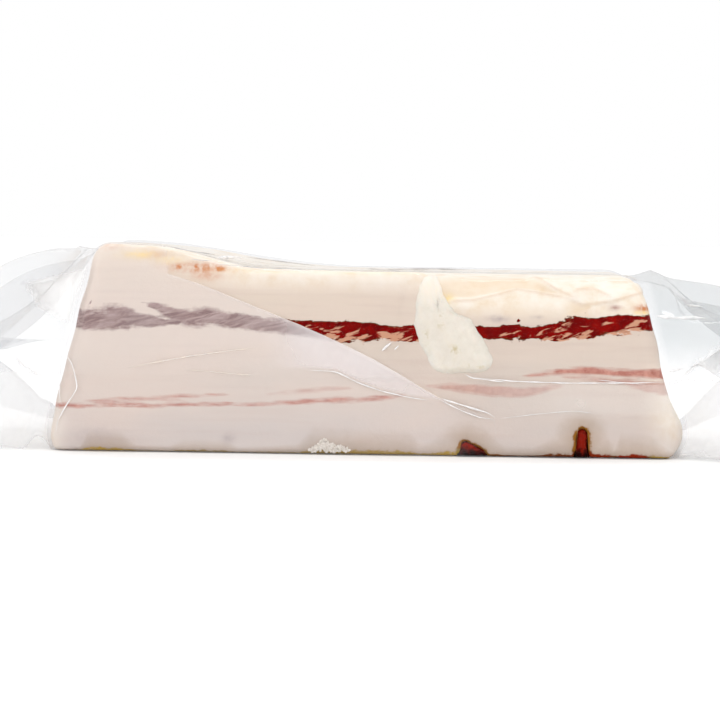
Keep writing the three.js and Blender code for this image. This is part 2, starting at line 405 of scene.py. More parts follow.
film = {
    "counts": (40, 12, 40, 8, 18),
    "slabRings": 190,
    "flapStep": 1.1,
    "sealWidth": 9,  # the welded band at each end
    "sealStep": 0.35,
    "ribPitch": 1.5,
    "ribHeight": 0.12,
    "crumple": 1.7,  # most height of the loose film's facets
    "crumpleSteps": 13,  # planes that make them
    "crumpleShare": 0.22,  # of the gap between the two films
    "crumpleField": (50, 120),  # what a flap's length and width stand for in them
    "crumpleSeeds": (11, 31),  # of the upper and the lower film
    "crumpleUp": (0.9, 0.5),
    "crumpleOut": 0.6,
    # flat facets that catch a softbox: its number, and the outline on the long face
    "facets": [
        (0, [(-92.0, 45.3), (-76.0, 49.5), (-80.5, 34.5), (-88.0, 38.9)]),
        (1, [(84.5, 19.4), (87.0, 24.0), (97.5, 33.5), (97.5, 27.0), (90.5, 20.5)]),
    ],
}


def fallen(flap, out, v, isOver):
    near = np.max([bump(v - at, flapForm["ridgeWidth"]) for at in flap["ridgeAt"]], axis=0)
    edge = np.maximum(bump(v, flapForm["seamWidth"]), bump(v - 1, flapForm["seamWidth"]))
    ridge = flap["ridge"] if isOver else flap["floor"]
    power = mix(mix(flap["middle"], ridge, near), flap["seam"], edge)
    clung = flap["cling"] * isOver * near * (1 - edge) * (1 - np.exp(-out / flapForm["clingRun"]))
    return mix(gone(out, power), 1, clung * (1 - out))


def filmLine(line, v, side, t, a, isOver):
    # one film at one ring, from the front seam to the back one, as points in mm
    x = alongSlab(a, slab["seenHeight"])
    felt, wall = withWaves(line, x)
    proud = np.where(line[:, 0] < 0, wall * tongueRelief(x, line[:, 1]), 0)
    y, z = felt[:, 0] - proud, felt[:, 1]
    x = alongSlab(a, z)
    y[0] -= pouch["seamProud"]
    y[-1] += pouch["seamProud"]
    if t == 0:
        return np.stack([x, y + packShift, z], 1)
    flap = leftFlap if side < 0 else rightFlap
    step = 0.01
    along = sealLine(flap["seal"], v + step) - sealLine(flap["seal"], v - step)
    along /= np.linalg.norm(along, axis=1)[:, None]
    normal = np.stack([-along[:, 1], along[:, 0]], 1)
    lens = np.minimum(1, 4 * np.sin(math.pi * v))
    inside = smooth(v, 0.25, 0.4) * smooth(1 - v, 0.22, 0.35)
    pleat = pouch["pleatHeight"] * np.sin(2 * math.pi * pouch["pleats"] * v) * inside
    off = pleat + (0.5 if isOver else -0.5) * pouch["sealThickness"] * lens
    far = sealLine(flap["seal"], v) + normal * off[:, None]
    far[:, 1] = np.maximum(far[:, 1], pouch["sealThickness"] if isOver else 0)
    sealX = side * (pouch["halfLength"] - pouch["cornerSetBack"] * (2 * v - 1) ** 2)
    outX = mix(x, sealX, t)
    reach = np.maximum(np.abs(x), flap["reach"])
    out = np.clip((np.abs(outX) - reach) / (np.abs(sealX) - reach), 0, 1)
    arch = np.where((out > flapForm["archRun"]) | isOver, 0,
                    flap["arch"] * lens * np.sin(math.pi * out / flapForm["archRun"]))
    return np.stack([outX, mix(y, far[:, 0], gone(out, flap["spread"])) + packShift,
                     mix(z, far[:, 1], fallen(flap, out, v, isOver)) + arch], 1)


def crumpled(place, seed):
    # sharp-edged facets: the highest of several tilted planes, less the highest of others
    draw = np.random.default_rng(seed)
    total = np.zeros(len(place))
    for sign in (1, -1):
        planes = []
        for _ in range(film["crumpleSteps"]):
            slope = draw.normal(size=2) * 0.09
            middle = draw.uniform((-25, -60), (25, 60))
            planes.append((place - middle) @ slope)
        total += sign * np.max(planes, axis=0)
    return total - total.mean()


def insidePolygon(x, z, corners):
    # least distance inside the outline's edges, in mm; negative outside
    least = np.full(len(x), 1e9)
    count = len(corners)
    centre = np.mean([c[:2] for c in corners], axis=0)
    for i in range(count):
        a, b = np.array(corners[i][:2]), np.array(corners[(i + 1) % count][:2])
        normal = np.array([b[1] - a[1], a[0] - b[0]])
        normal /= np.linalg.norm(normal)
        if (centre - a) @ normal < 0:
            normal = -normal
        least = np.minimum(least, (x - a[0]) * normal[0] + (z - a[1]) * normal[1])
    return least


def flapShares():
    # stations from the slab's end to the seal's cut edge
    length = pouch["halfLength"] - leftEnd["reach"]
    loose = np.arange(0, length - film["sealWidth"], film["flapStep"])[1:]
    welded = np.arange(length - film["sealWidth"], length, film["sealStep"])
    return [*(loose / length), *(welded / length), 1.0]


def crumpleFlap(side, t, v, over, under):
    # creases the two films of one ring in place, and ribs them where they are welded
    gap = np.linalg.norm(over - under, axis=1)
    most = smooth(t, 0.02, 0.2) * smooth(1 - t, 0.2, 0.45)
    long, wide = film["crumpleField"]
    place = np.stack([(t - 0.5) * long + np.zeros(len(v)), (v - 0.5) * wide], 1)
    for points, seed, up in zip((over, under), film["crumpleSeeds"], film["crumpleUp"]):
        free = most * np.minimum(gap * film["crumpleShare"], film["crumple"])
        fold = np.clip(crumpled(place, seed + side), -1.4, 1.4)
        points[:, 2] += fold * free * up
        points[:, 1] += fold * free * np.where(v < 0.5, -1, 1) * film["crumpleOut"]
        points[:, 2] = np.maximum(points[:, 2], 0.02)
    outX = abs(over[len(v) // 2, 0])
    into = (outX - (pouch["halfLength"] - film["sealWidth"])) / film["sealWidth"]
    if into > 0:
        rib = math.sin(2 * math.pi * outX / film["ribPitch"]) * min(1, 6 * into)
        over[:, 2] += film["ribHeight"] * rib
        under[:, 2] += film["ribHeight"] * rib * (under[:, 2] > 0.5)


# shares of white haze: under the film's second fold, in a band of it, and where the film is drawn into
# a flap, lies low there, is welded, or hangs under its long low fold; and a painted highlight of white
# haze where a flat facet catches a softbox
haze = {"fold": 0.13, "foldHigh": 0.07, "band": 0.26, "flap": 0.14, "flapLow": 0.16,
        "weld": 0.12, "caught": 0.3, "underSeam": 0.24}


def makePouch(material):
    rings = []
    stations = [(-1, t, 0.0) for t in reversed(flapShares())]
    stations += [(0, 0.0, a) for a in np.linspace(0, 1, film["slabRings"])]
    stations += [(1, t, 1.0) for t in flapShares()]
    for side, t, a in stations:
        x = alongSlab(a, slab["seenHeight"])
        lines = slabFilms(x, endShareAt(a), film["counts"])
        steps = np.linalg.norm(np.diff(lines[0], axis=0), axis=1)
        v = np.concatenate([[0], np.cumsum(steps)]) / steps.sum()
        v[-1] = 1
        over = filmLine(lines[0], v, side, t, a, True)
        under = filmLine(lines[1], v, side, t, a, False)
        rings.append((side, t, v, over, under))
    rows = []
    for side, t, v, over, under in rings:
        if side:
            crumpleFlap(side, t, v, over, under)
        rows.append(np.vstack([over, under[-2:0:-1]]))
    count = len(rows[0])
    half = count // 2
    points = np.vstack(rows)
    ringOf = np.repeat(np.arange(len(rows)), count)
    slot = np.tile(np.arange(count), len(rows))
    v = np.concatenate([rings[0][2], rings[0][2][-2:0:-1]])[slot]
    flapT = np.array([r[1] for r in rings])[ringOf]
    side = np.array([r[0] for r in rings])[ringOf]
    fx, fz = onFace(points)
    # each flat facet is tilted to mirror a softbox, and its outline also gets a painted highlight of
    # white haze
    caught = np.zeros(len(points))
    for box, outline in film["facets"]:
        part = smooth(insidePolygon(fx, fz, outline), -0.5, 0.5) * (slot <= half) * (v < 0.4)
        centre = (points * part[:, None]).sum(axis=0) / part.sum()
        toEye, toBox = eye - centre, np.array(studio["boxes"][box][0]) - centre
        normal = toEye / np.linalg.norm(toEye) + toBox / np.linalg.norm(toBox)
        ray = points - eye
        flat = eye + ray * (((centre - eye) @ normal) / (ray @ normal))[:, None]
        points = mix(points, flat, part[:, None])
        caught = np.maximum(caught, part)
    faces = []
    for i in range(len(rows) - 1):
        faces += bandFaces(i * count, (i + 1) * count, count)
    for start in (0, (len(rows) - 1) * count):
        for j in range(half):
            quad = (start + j, start + (count - j) % count, start + count - j - 1, start + j + 1)
            faces.append(tuple(dict.fromkeys(quad)))
    front = smooth(-(points[:, 1] - packShift), 10, 34)
    veiled, amount = veilAt(fx, fz, front * (flapT < 0.01))
    low = front * (fz < 21.5) * (side != 0)
    underSeam = smooth(fx, 26, 60) * smooth(fz, 10, 13.5) * smooth(20.7 - fz, 0, 0.7) * (side == 0)
    weld = smooth(np.abs(points[:, 0]) - pouch["halfLength"] + film["sealWidth"], 4, 5.5)
    milk = haze["flap"] * (side != 0) + haze["flapLow"] * low + haze["weld"] * weld
    milk = milk + haze["caught"] * caught + haze["underSeam"] * underSeam * front
    grey = np.where(side > 0, mix(0.2, mix(0.75, 1, front), smooth(fz, 22, 34)), 0.3)
    loose = smooth(flapT, 0, 0.05) * grey
    attributes = {"veil": np.stack([veiled, amount, milk], 1),
                  "flap": np.outer(loose, (1, 0, 0))}
    return makeMesh("film_pouch", points, faces, material, attributes)


# a second fold of the film lies over the left of the long face, up to the first line; a whiter
# band of it starts at the second
veilLine = [(-54.2, 48.6), (-45.0, 45.8), (-17.9, 35.1), (-5.7, 29.9), (2.4, 26.0), (10.4, 21.5),
            (19.9, 15.9), (25.6, 13.6), (35.1, 10.2)]
innerLine = [(-40, 22.0), (-16.1, 23.0), (-8.0, 22.7), (-2.0, 19.7), (4.2, 17.6), (12.1, 15.9),
             (20.2, 15.0), (33.2, 12.1), (35.7, 10.5)]


def veilAt(fx, fz, front):
    # how far inside the second fold a point is, in mm, and its share of haze
    line, inner = np.array(veilLine), np.array(innerLine)
    edge = np.interp(fx, line[:, 0], line[:, 1])
    edge = np.where(fx < line[0, 0], 60, edge)
    past = (edge - fz) * 0.88  # the fold's edge slants
    past = np.where(fx > line[-1, 0], line[-1, 0] - fx, past)
    past = np.where(front > 0.3, past, -3)
    toInner = fz - np.interp(fx, inner[:, 0], inner[:, 1])
    band = smooth(toInner, 0, 1.2) * smooth(fx, -30, -8)
    amount = haze["fold"] + haze["foldHigh"] * smooth(fx, -50, -15) * smooth(fz, 28, 33)
    amount = (amount + haze["band"] * band) * (mix(0.5, 1, smooth(fz, 16, 30)) + 0.25 * band)
    amount *= 1 - smooth(12.5 - fz, 0, 2) * smooth(fx, 18, 34)
    return past, np.clip(amount, 0, 0.8)


def clearFilm():
    # polyamide and polyethylene vacuum film, blown: clear, glossy, a little milky where it is
    # doubled or stretched
    sizes = {"tight": "#FDFDFE", "loose": "#E7EAEC", "milk": "#FBF8F5", "mauve": "#F0EAEB",
             "roughness": 0.07}
    material, add, milkShader, output = newMaterial("clear vacuum film")
    veil, amount, milk = attributeParts(add, "veil")
    loose = attributeParts(add, "flap")[0]
    spots = spotsInMm(add)
    cloud = add("ShaderNodeTexNoise", {"Vector": spots, "Scale": 0.07, "Detail": 3})
    past = add("ShaderNodeMapRange", {0: veil, 1: -0.06, 2: 0.06})
    doubled = add("ShaderNodeMath", {0: past, 1: amount}, operation="MULTIPLY")
    cloudy = add("ShaderNodeMapRange", {0: cloud, 1: 0.3, 2: 0.7, 3: 0.75, 4: 1.2})
    rimShare = add("ShaderNodeMapRange", {0: veil, 1: 1.0, 2: 0.0, 3: 0, 4: 0.12})
    rim = add("ShaderNodeMath", {0: past, 1: rimShare}, operation="MULTIPLY")
    doubled = add("ShaderNodeMath", {0: doubled, 1: rim}, operation="ADD")
    white = add("ShaderNodeMath", {0: doubled, 1: milk}, operation="ADD")
    share = add("ShaderNodeMath", {0: white, 1: cloudy}, operation="MULTIPLY", use_clamp=True)
    body = layered(add, sizes["milk"], [(past, sizes["mauve"])])
    setInputs(milkShader, {"Base Color": body, "Roughness": 0.5, "Specular IOR Level": 0.0})
    tint = layered(add, sizes["tight"], [(loose, sizes["loose"])])
    clear = add("ShaderNodeBsdfTransparent", {"Color": tint})
    through = add("ShaderNodeMixShader", {0: share, 1: clear, 2: milkShader.outputs[0]})
    ripple = add("ShaderNodeTexNoise", {"Vector": spots, "Scale": 0.12, "Detail": 2,
                                        "Distortion": 0.6})
    wavy = add("ShaderNodeBump", {"Height": ripple, "Strength": 0.25, "Distance": 1.2 * mm})
    facing = add("ShaderNodeLayerWeight", {"Blend": 0.5, "Normal": wavy}, "Facing")
    steep = add("ShaderNodeMath", {0: facing, 1: 5.0}, operation="POWER")
    straight = add("ShaderNodeMapRange", {0: loose, 3: 0.002, 4: 0.03})
    gloss = add("ShaderNodeMapRange", {0: steep, 3: straight, 4: 0.7})
    shine = add("ShaderNodeBsdfGlossy", {"Roughness": sizes["roughness"], "Normal": wavy})
    whole = add("ShaderNodeMixShader", {0: gloss, 1: through, 2: shine})
    setInputs(output, {"Surface": whole})
    return material


pouchPiece = makePouch(clearFilm())
print("the pouch is made")


# the upper layer of lean, in overlapping strands and one speck: centre (x, z) and half thickness, in mm
upperLean = [
    [(-90, 35.6, 2.6), (-77.9, 35.8, 2.7), (-72, 35.8, 2.8), (-66.3, 36.7, 2.8),
     (-61.1, 35.9, 1.9), (-57, 35.4, 1.3), (-50, 35.0, 0.02)],
    [(40.2, 37.3, 0.02), (41.1, 37.3, 0.55), (42.0, 37.3, 0.02)],
    [(-61.5, 40.6, 0.02), (-57.5, 39.5, 0.9), (-54, 38.3, 1.6), (-51, 37.2, 2.1),
     (-48.2, 36.6, 2.3), (-43.6, 36.9, 2.2), (-39, 36.4, 2.0), (-28.7, 35.1, 2.0),
     (-20, 34.5, 1.9), (-15, 34.4, 2.2), (-10, 34.0, 2.85), (-4.5, 33.7, 2.7), (0.9, 33.5, 2.4),
     (4.5, 33.6, 1.9), (9, 33.1, 2.0), (12.3, 33.3, 2.3), (22, 33.6, 2.0), (31, 33.8, 1.7),
     (36, 33.9, 1.95), (40, 34.1, 2.2), (44, 33.5, 1.7), (48, 33.8, 2.0), (51, 34.4, 2.55),
     (55, 35.3, 2.8), (60, 35.7, 2.9), (63, 35.8, 2.5), (66, 36.4, 2.75), (70, 36.6, 2.85),
     (74, 36.9, 2.75), (77, 36.8, 2.3), (90, 36.8, 2.3)],
]
# tan marbling in it: x, z, half width, half height
marbling = [(-7, 32.2, 4.5, 1.3), (8, 33.2, 5, 2.0), (52.5, 34.4, 3.2, 2.4), (64, 36.9, 2.6, 0.8),
            (72.5, 35.5, 1.3, 2.6)]
# thin lower streaks: x, z and half thickness of each bend, and how red each is
lowerLean = [
    (1.0, [(-90, 12.4, 0.45), (-84, 12.2, 0.55), (-69, 12.7, 0.45), (-57.6, 12.7, 0.4),
           (-44.7, 13.3, 0.5), (-36, 13.5, 0.3)]),
    (0.7, [(-76, 13.4, 0.25), (-69, 14.0, 0.5), (-60.9, 14.5, 0.5), (-47.4, 15.5, 0.4),
           (-38, 15.9, 0.2)]),
    (0.85, [(-35, 13.2, 0.25), (-23, 13.9, 0.55), (-14.5, 14.6, 0.6), (-8.2, 15.1, 0.7),
            (-2.2, 15.1, 0.6), (4, 15.8, 0.6), (10.3, 16.5, 0.3)]),
    (0.4, [(-26, 16.3, 0.3), (-14.6, 17.6, 0.6), (-4, 18.3, 0.3)]),
    (0.5, [(17, 19.3, 0.3), (24, 18.8, 1.0), (34, 18.0, 1.5), (43, 17.8, 1.3), (52, 19.5, 0.7)]),
    (0.9, [(44, 22.4, 0.3), (52, 23.5, 0.8), (58, 24.0, 1.1), (66, 23.4, 1.0), (74, 23.2, 1.1),
           (84, 23.0, 1.5)]),
    (0.55, [(54, 22.0, 0.3), (62, 21.6, 0.7), (70, 20.8, 0.8), (76, 19.6, 1.5), (84, 19.0, 1.9)]),
]
# rings of slits cut into the rind: the opening in the long face, (x, z), from left to right
slits = [
    [(25.0, 0), (26.0, 1.1), (26.3, 3.3), (27.4, 3.8), (28.5, 3.2), (30.4, 2.3), (32.0, 1.5),
     (33.4, 0)],
    [(56.6, 0), (57.4, 1.4), (57.3, 3.5), (57.2, 5.4), (57.5, 6.8), (58.1, 7.5), (58.8, 7.8),
     (59.5, 7.5), (60.0, 6.8), (60.2, 5.4), (60.0, 2.7), (60.4, 1.0), (61.2, 0)],
]
# folds of the membrane over the top front edge: line on the face, height, and its spread above
# and below the line, in mm
folds = [
    ([(16.5, 49.2), (25.0, 50.3), (31.2, 50.7), (37, 51.3), (40.9, 51.3), (46.8, 48.8),
      (51.2, 46.1), (57.8, 43.2)], 1.25, 4.5, 1.0),
    ([(20.5, 41.6), (24, 42.6), (28.1, 42.8), (35.6, 44.6), (40.2, 46.0), (46.1, 45.2),
      (55, 43.6)], 1.15, 0.8, 6.0),
    ([(54.3, 44.2), (57, 46.4), (61.7, 46.3), (67.6, 43.5)], 0.7, 0.6, 1.6),
    ([(53.7, 44.0), (58.0, 42.0), (64.7, 42.9), (67.6, 43.5)], 0.7, 1.0, 0.5),
    ([(63.7, 42.4), (69.6, 44.2), (78.0, 46.7)], 0.6, 3.0, 0.6),
]
meat = {
    "counts": (34, 40, 44, 8, 20),
    "under": (26, 6, 44, 6, 16),
    "rings": 215,
    "slack": 0.35,  # between the film and the food
    "round": 2.2,  # radius at the two ends
    "middle": 25,  # height about which the section shrinks
    "slitTop": 20,  # the fat above a slit is pressed up as far as this
    "slitFade": 8,  # and over this much it goes back to the slab's slant
    "slitBeside": (5, 8),  # beside a slit, all of this is pressed up, and less over the next
    "capRings": 22,
    # stations close to the ends, in mm from them, and to the slits
    "endSteps": (0, 0.12, 0.35, 0.7, 1.15, 1.7, 2.4, 3.4),
    "slitStep": 0.2,
    "slitMargin": 0.8,
    "leastStep": 0.0006,  # a share of the length
}
# the membrane that lies over the top front edge: where it starts on the left, ends on the right
# and starts from below, how far back it reaches, and the fat that it leaves free to fold
membrane = {"left": (14, 20), "right": (70, 78), "foot": (36, 41), "reach": (16, 28),
            "most": 1.3, "sunk": 1.25}
# unevenness of the whole slab, its top and its ends: height and width in mm, and seed
uneven = {"all": (0.28, 15, 3), "top": (0.3, 6, 4), "ends": (0.35, 8, 5), "sunk": (0.12, 0.15),
          "most": 0.16}


floorHeight = 0.5  # mm, where the slits are measured


def slabStations():
    # shares of the slab's length, closer at the ends and the slits
    near = np.array(meat["endSteps"]) / slabLength
    shares = [*np.linspace(0, 1, meat["rings"]), *near, *(1 - near)]
    ends = alongSlab(0, floorHeight), alongSlab(1, floorHeight)
    for slit in slits:
        low, high = slit[0][0] - meat["slitMargin"], slit[-1][0] + meat["slitMargin"]
        spots = np.arange(low, high, meat["slitStep"])
        shares += list((spots - ends[0]) / (ends[1] - ends[0]))
    shares = np.sort(shares)
    keep = [0]
    for i in range(1, len(shares)):
        if shares[i] - shares[keep[-1]] > meat["leastStep"]:
            keep.append(i)
    return shares[keep]


def slitHeight(x):
    height = 0.0
    for slit in slits:
        rows = np.array(slit)
        if rows[0, 0] < x < rows[-1, 0]:
            order = np.maximum.accumulate(rows[:, 0] + np.arange(len(rows)) * 1e-4)
            height = float(np.interp(x, order, rows[:, 1]))
    return height


def outlineDistance(x, z, rows):
    # least distance from a run of points on the face, in mm
    least = np.full(len(x), 1e3)
    spot = np.stack([x, z], 1)
    for a, b in zip(np.array(rows)[:-1, :2], np.array(rows)[1:, :2]):
        along = b - a
        share = np.clip((spot - a) @ along / (along @ along), 0, 1)
        least = np.minimum(least, np.linalg.norm(spot - a - share[:, None] * along, axis=1))
    return least


def foldRelief(fx, fz):
    total = np.zeros(len(fx))
    for line, height, above, below in folds:
        rows = np.array(line)
        off = fz - np.interp(fx, rows[:, 0], rows[:, 1])
        ends = smooth(fx, rows[0, 0] - 2, rows[0, 0] + 3) * smooth(-fx, -rows[-1, 0] - 2,
                                                                   -rows[-1, 0] + 3)
        total += height * ends * np.where(off > 0, bump(off, above), bump(off, below))
    return total


def slabRing(a):
    # one closed section of the food, (y, z), with its x and its height before the slits
    x = alongSlab(a, slab["seenHeight"])
    over, _ = slabFilms(x, endShareAt(a), meat["counts"])
    _, under = slabFilms(x, endShareAt(a), meat["under"])
    over, _ = withWaves(over, x)
    under, _ = withWaves(under, x)
    line = np.vstack([over, under[-2:0:-1]])
    fromEnd = min(a, 1 - a) * slabLength
    bent = meat["round"] * (1 - math.sqrt(1 - (1 - min(fromEnd / meat["round"], 1)) ** 2))
    inset = meat["slack"] + bent
    half, centre = slab["depth"] / 2, meat["middle"]
    y = line[:, 0] * (1 - inset / half)
    up = line[:, 1] > centre
    z = np.where(up, centre + (line[:, 1] - centre) * (1 - inset / centre),
                 centre - (centre - line[:, 1]) * (1 - (bent + 0.08) / centre))
    return y, z


def makeSlab(material):
    rings, startHeights = [], []
    for a in slabStations():
        y, z = slabRing(a)
        floorX = float(alongSlab(a, floorHeight))
        lift = slitHeight(floorX)
        pressed = np.clip(1 - z / meat["slitTop"], 0, 1)
        whole, fade = meat["slitBeside"]
        beside = max(1 - smooth(abs(floorX - slit[3][0]) - whole, 0, fade) for slit in slits)
        raised = z + lift * pressed
        straight = smooth(meat["slitTop"] - raised, 0, meat["slitTop"] - meat["slitFade"])
        x = mix(alongSlab(a, raised), floorX, beside * straight)
        seenX = alongSlab(a, slab["seenHeight"])
        y = y - np.sign(y) * (waveInset(seenX, y, raised)[1] - waveInset(seenX, y, z)[1])
        rings.append(np.stack([x, y + packShift, raised], 1))
        startHeights.append(z)
    count = len(rings[0])
    points = list(rings)
    heights = list(startHeights)
    centre = np.array([packShift, meat["middle"]])
    for side, source in ((-1, rings[0]), (1, rings[-1])):
        base = source[:, 1:] - centre
        for k in range(1, meat["capRings"]):
            share = 1 - (k / meat["capRings"]) ** 0.8
            yz = centre + base * share
            x = alongSlab(side > 0, yz[:, 1])
            points.append(np.column_stack([x, yz]))
            heights.append(yz[:, 1])
        x = alongSlab(side > 0, centre[1])
        points.append(np.array([[x, centre[0], centre[1]]]))
        heights.append(np.array([centre[1]]))
    sizes = [len(p) for p in points]
    starts = np.concatenate([[0], np.cumsum(sizes)])[:-1]
    points = np.vstack(points)
    heights = np.concatenate(heights)
    faces = []
    for i in range(len(rings) - 1):
        faces += bandFaces(starts[i], starts[i + 1], count)
    spot = len(rings)
    for before in (0, len(rings) - 1):
        for k in range(meat["capRings"] - 1):
            faces += bandFaces(starts[before], starts[spot + k], count)
            before = spot + k
        centreAt = starts[spot + meat["capRings"] - 1]
        for k in range(count):
            n = (k + 1) % count
            faces.append((starts[before] + k, starts[before] + n, centreAt))
        spot += meat["capRings"]
    piece = makeMesh("pork_slab", points, faces, material)
    mesh = piece.data
    normals = np.zeros(len(points) * 3)
    mesh.vertices.foreach_get("normal", normals)
    normals = normals.reshape(-1, 3)
    fx, fz = onFace(points)
    front = points[:, 1] < packShift - 2
    left, right = membrane["left"], membrane["right"]
    zone = smooth(fx, *left) * smooth(-fx, -right[1], -right[0]) * smooth(fz, *membrane["foot"])
    zone = zone * front
    onTop = smooth(normals[:, 2], 0.5, 0.9)
    onEnds = smooth(np.abs(normals[:, 0]), 0.5, 0.9)
    folded = foldRelief(fx, fz)
    zone *= 1 - smooth(points[:, 1] - faceY, *membrane["reach"])
    relief = zone * (np.minimum(folded, membrane["most"]) - membrane["sunk"])
    high, *form = uneven["all"]
    relief += high * lumps(points, *form) * smooth(heights, 0.5, 5) - uneven["sunk"][0]
    high, *form = uneven["top"]
    relief += high * lumps(points * (0.5, 1, 1), *form) * onTop * (1 - zone)
    relief -= uneven["sunk"][1] * onTop
    high, *form = uneven["ends"]
    relief += high * lumps(points * (1, 1, 1.6), *form) * onEnds
    relief = np.minimum(relief, uneven["most"])
    points = points + normals * relief[:, None]
    points[:, 2] = np.maximum(points[:, 2], 0.06)
    mesh.vertices.foreach_set("co", (points * mm).ravel())
    mesh.update()
    crest = np.array(folds[0][0])
    beneath = np.interp(fx, crest[:, 0], crest[:, 1]) - fz
    # painted shade in the membrane's hollows, below the first fold's crest
    hollowShade = zone * (1 - np.clip(folded / 1.1, 0, 1)) * smooth(beneath, -0.4, 1) * (fx < 60)
    setAttributes(mesh, slabPaint(points, heights, onTop, hollowShade))
    return piece


# stains of the cure: x, z, half width, half height and strength
stains = {
    "orange": [(-50.5, 50.5, 2.2, 0.8, 1), (-46, 50.3, 1.4, 1.2, 1.1), (-39.9, 50.0, 2.0, 0.9, 1),
               (-45, 50.2, 7.0, 1.3, 0.8), (-43.4, 48.2, 4.5, 1.4, 0.4), (-70, 56.2, 4, 1.4, 0.3),
               (-57.5, 53.5, 3.5, 1.0, 0.3), (75, 41.0, 2.4, 0.9, 1), (66.9, 41.0, 1.4, 0.5, 0.7)],
    "yellow": [(-61.3, 53.6, 4.5, 1.2, 0.8), (-54, 52.2, 4, 0.9, 0.5), (21.5, 42.8, 2.0, 1.3, 0.7),
               (-28, 49.8, 12, 0.8, 0.25), (0, 50, 16, 0.9, 0.25), (75, 39.8, 3, 0.5, 0.8)],
    "grey": [(-73, 4.2, 7, 2.6, 0.45), (35.5, 37.6, 2.6, 0.9, 0.9), (66.8, 41.0, 1.6, 0.8, 0.8),
             (-36.8, 4.2, 1.5, 1.3, 0.8), (46, 38.2, 1.6, 0.5, 0.7)],
}
# the rind's edge along the long face: x, thickness in mm, and tone from golden (0) to red (1)
rindEdge = [(-84, 0.1, 0.1), (-77, 0.2, 0), (-75, 1.0, 0), (-66, 1.0, 0.05), (-62, 0.35, 0.2),
            (-53, 0.3, 0.4), (-49, 0.65, 0.35), (-38, 0.65, 0.4), (-34, 0.3, 0.3),
            (-18, 0.5, 0.25), (-14, 1.35, 0.2), (12, 1.2, 0.22), (15, 0.6, 0.3), (23, 0.8, 0.1),
            (35, 0.5, 0.6), (55, 0.55, 0.7), (60, 1.2, 0.95), (66, 1.1, 0.9), (67.5, 0.4, 0.6),
            (69, 1.2, 1), (76, 1.2, 0.95), (78, 1.1, 0.2), (82, 0.5, 0.15), (85, 0.2, 0.1)]


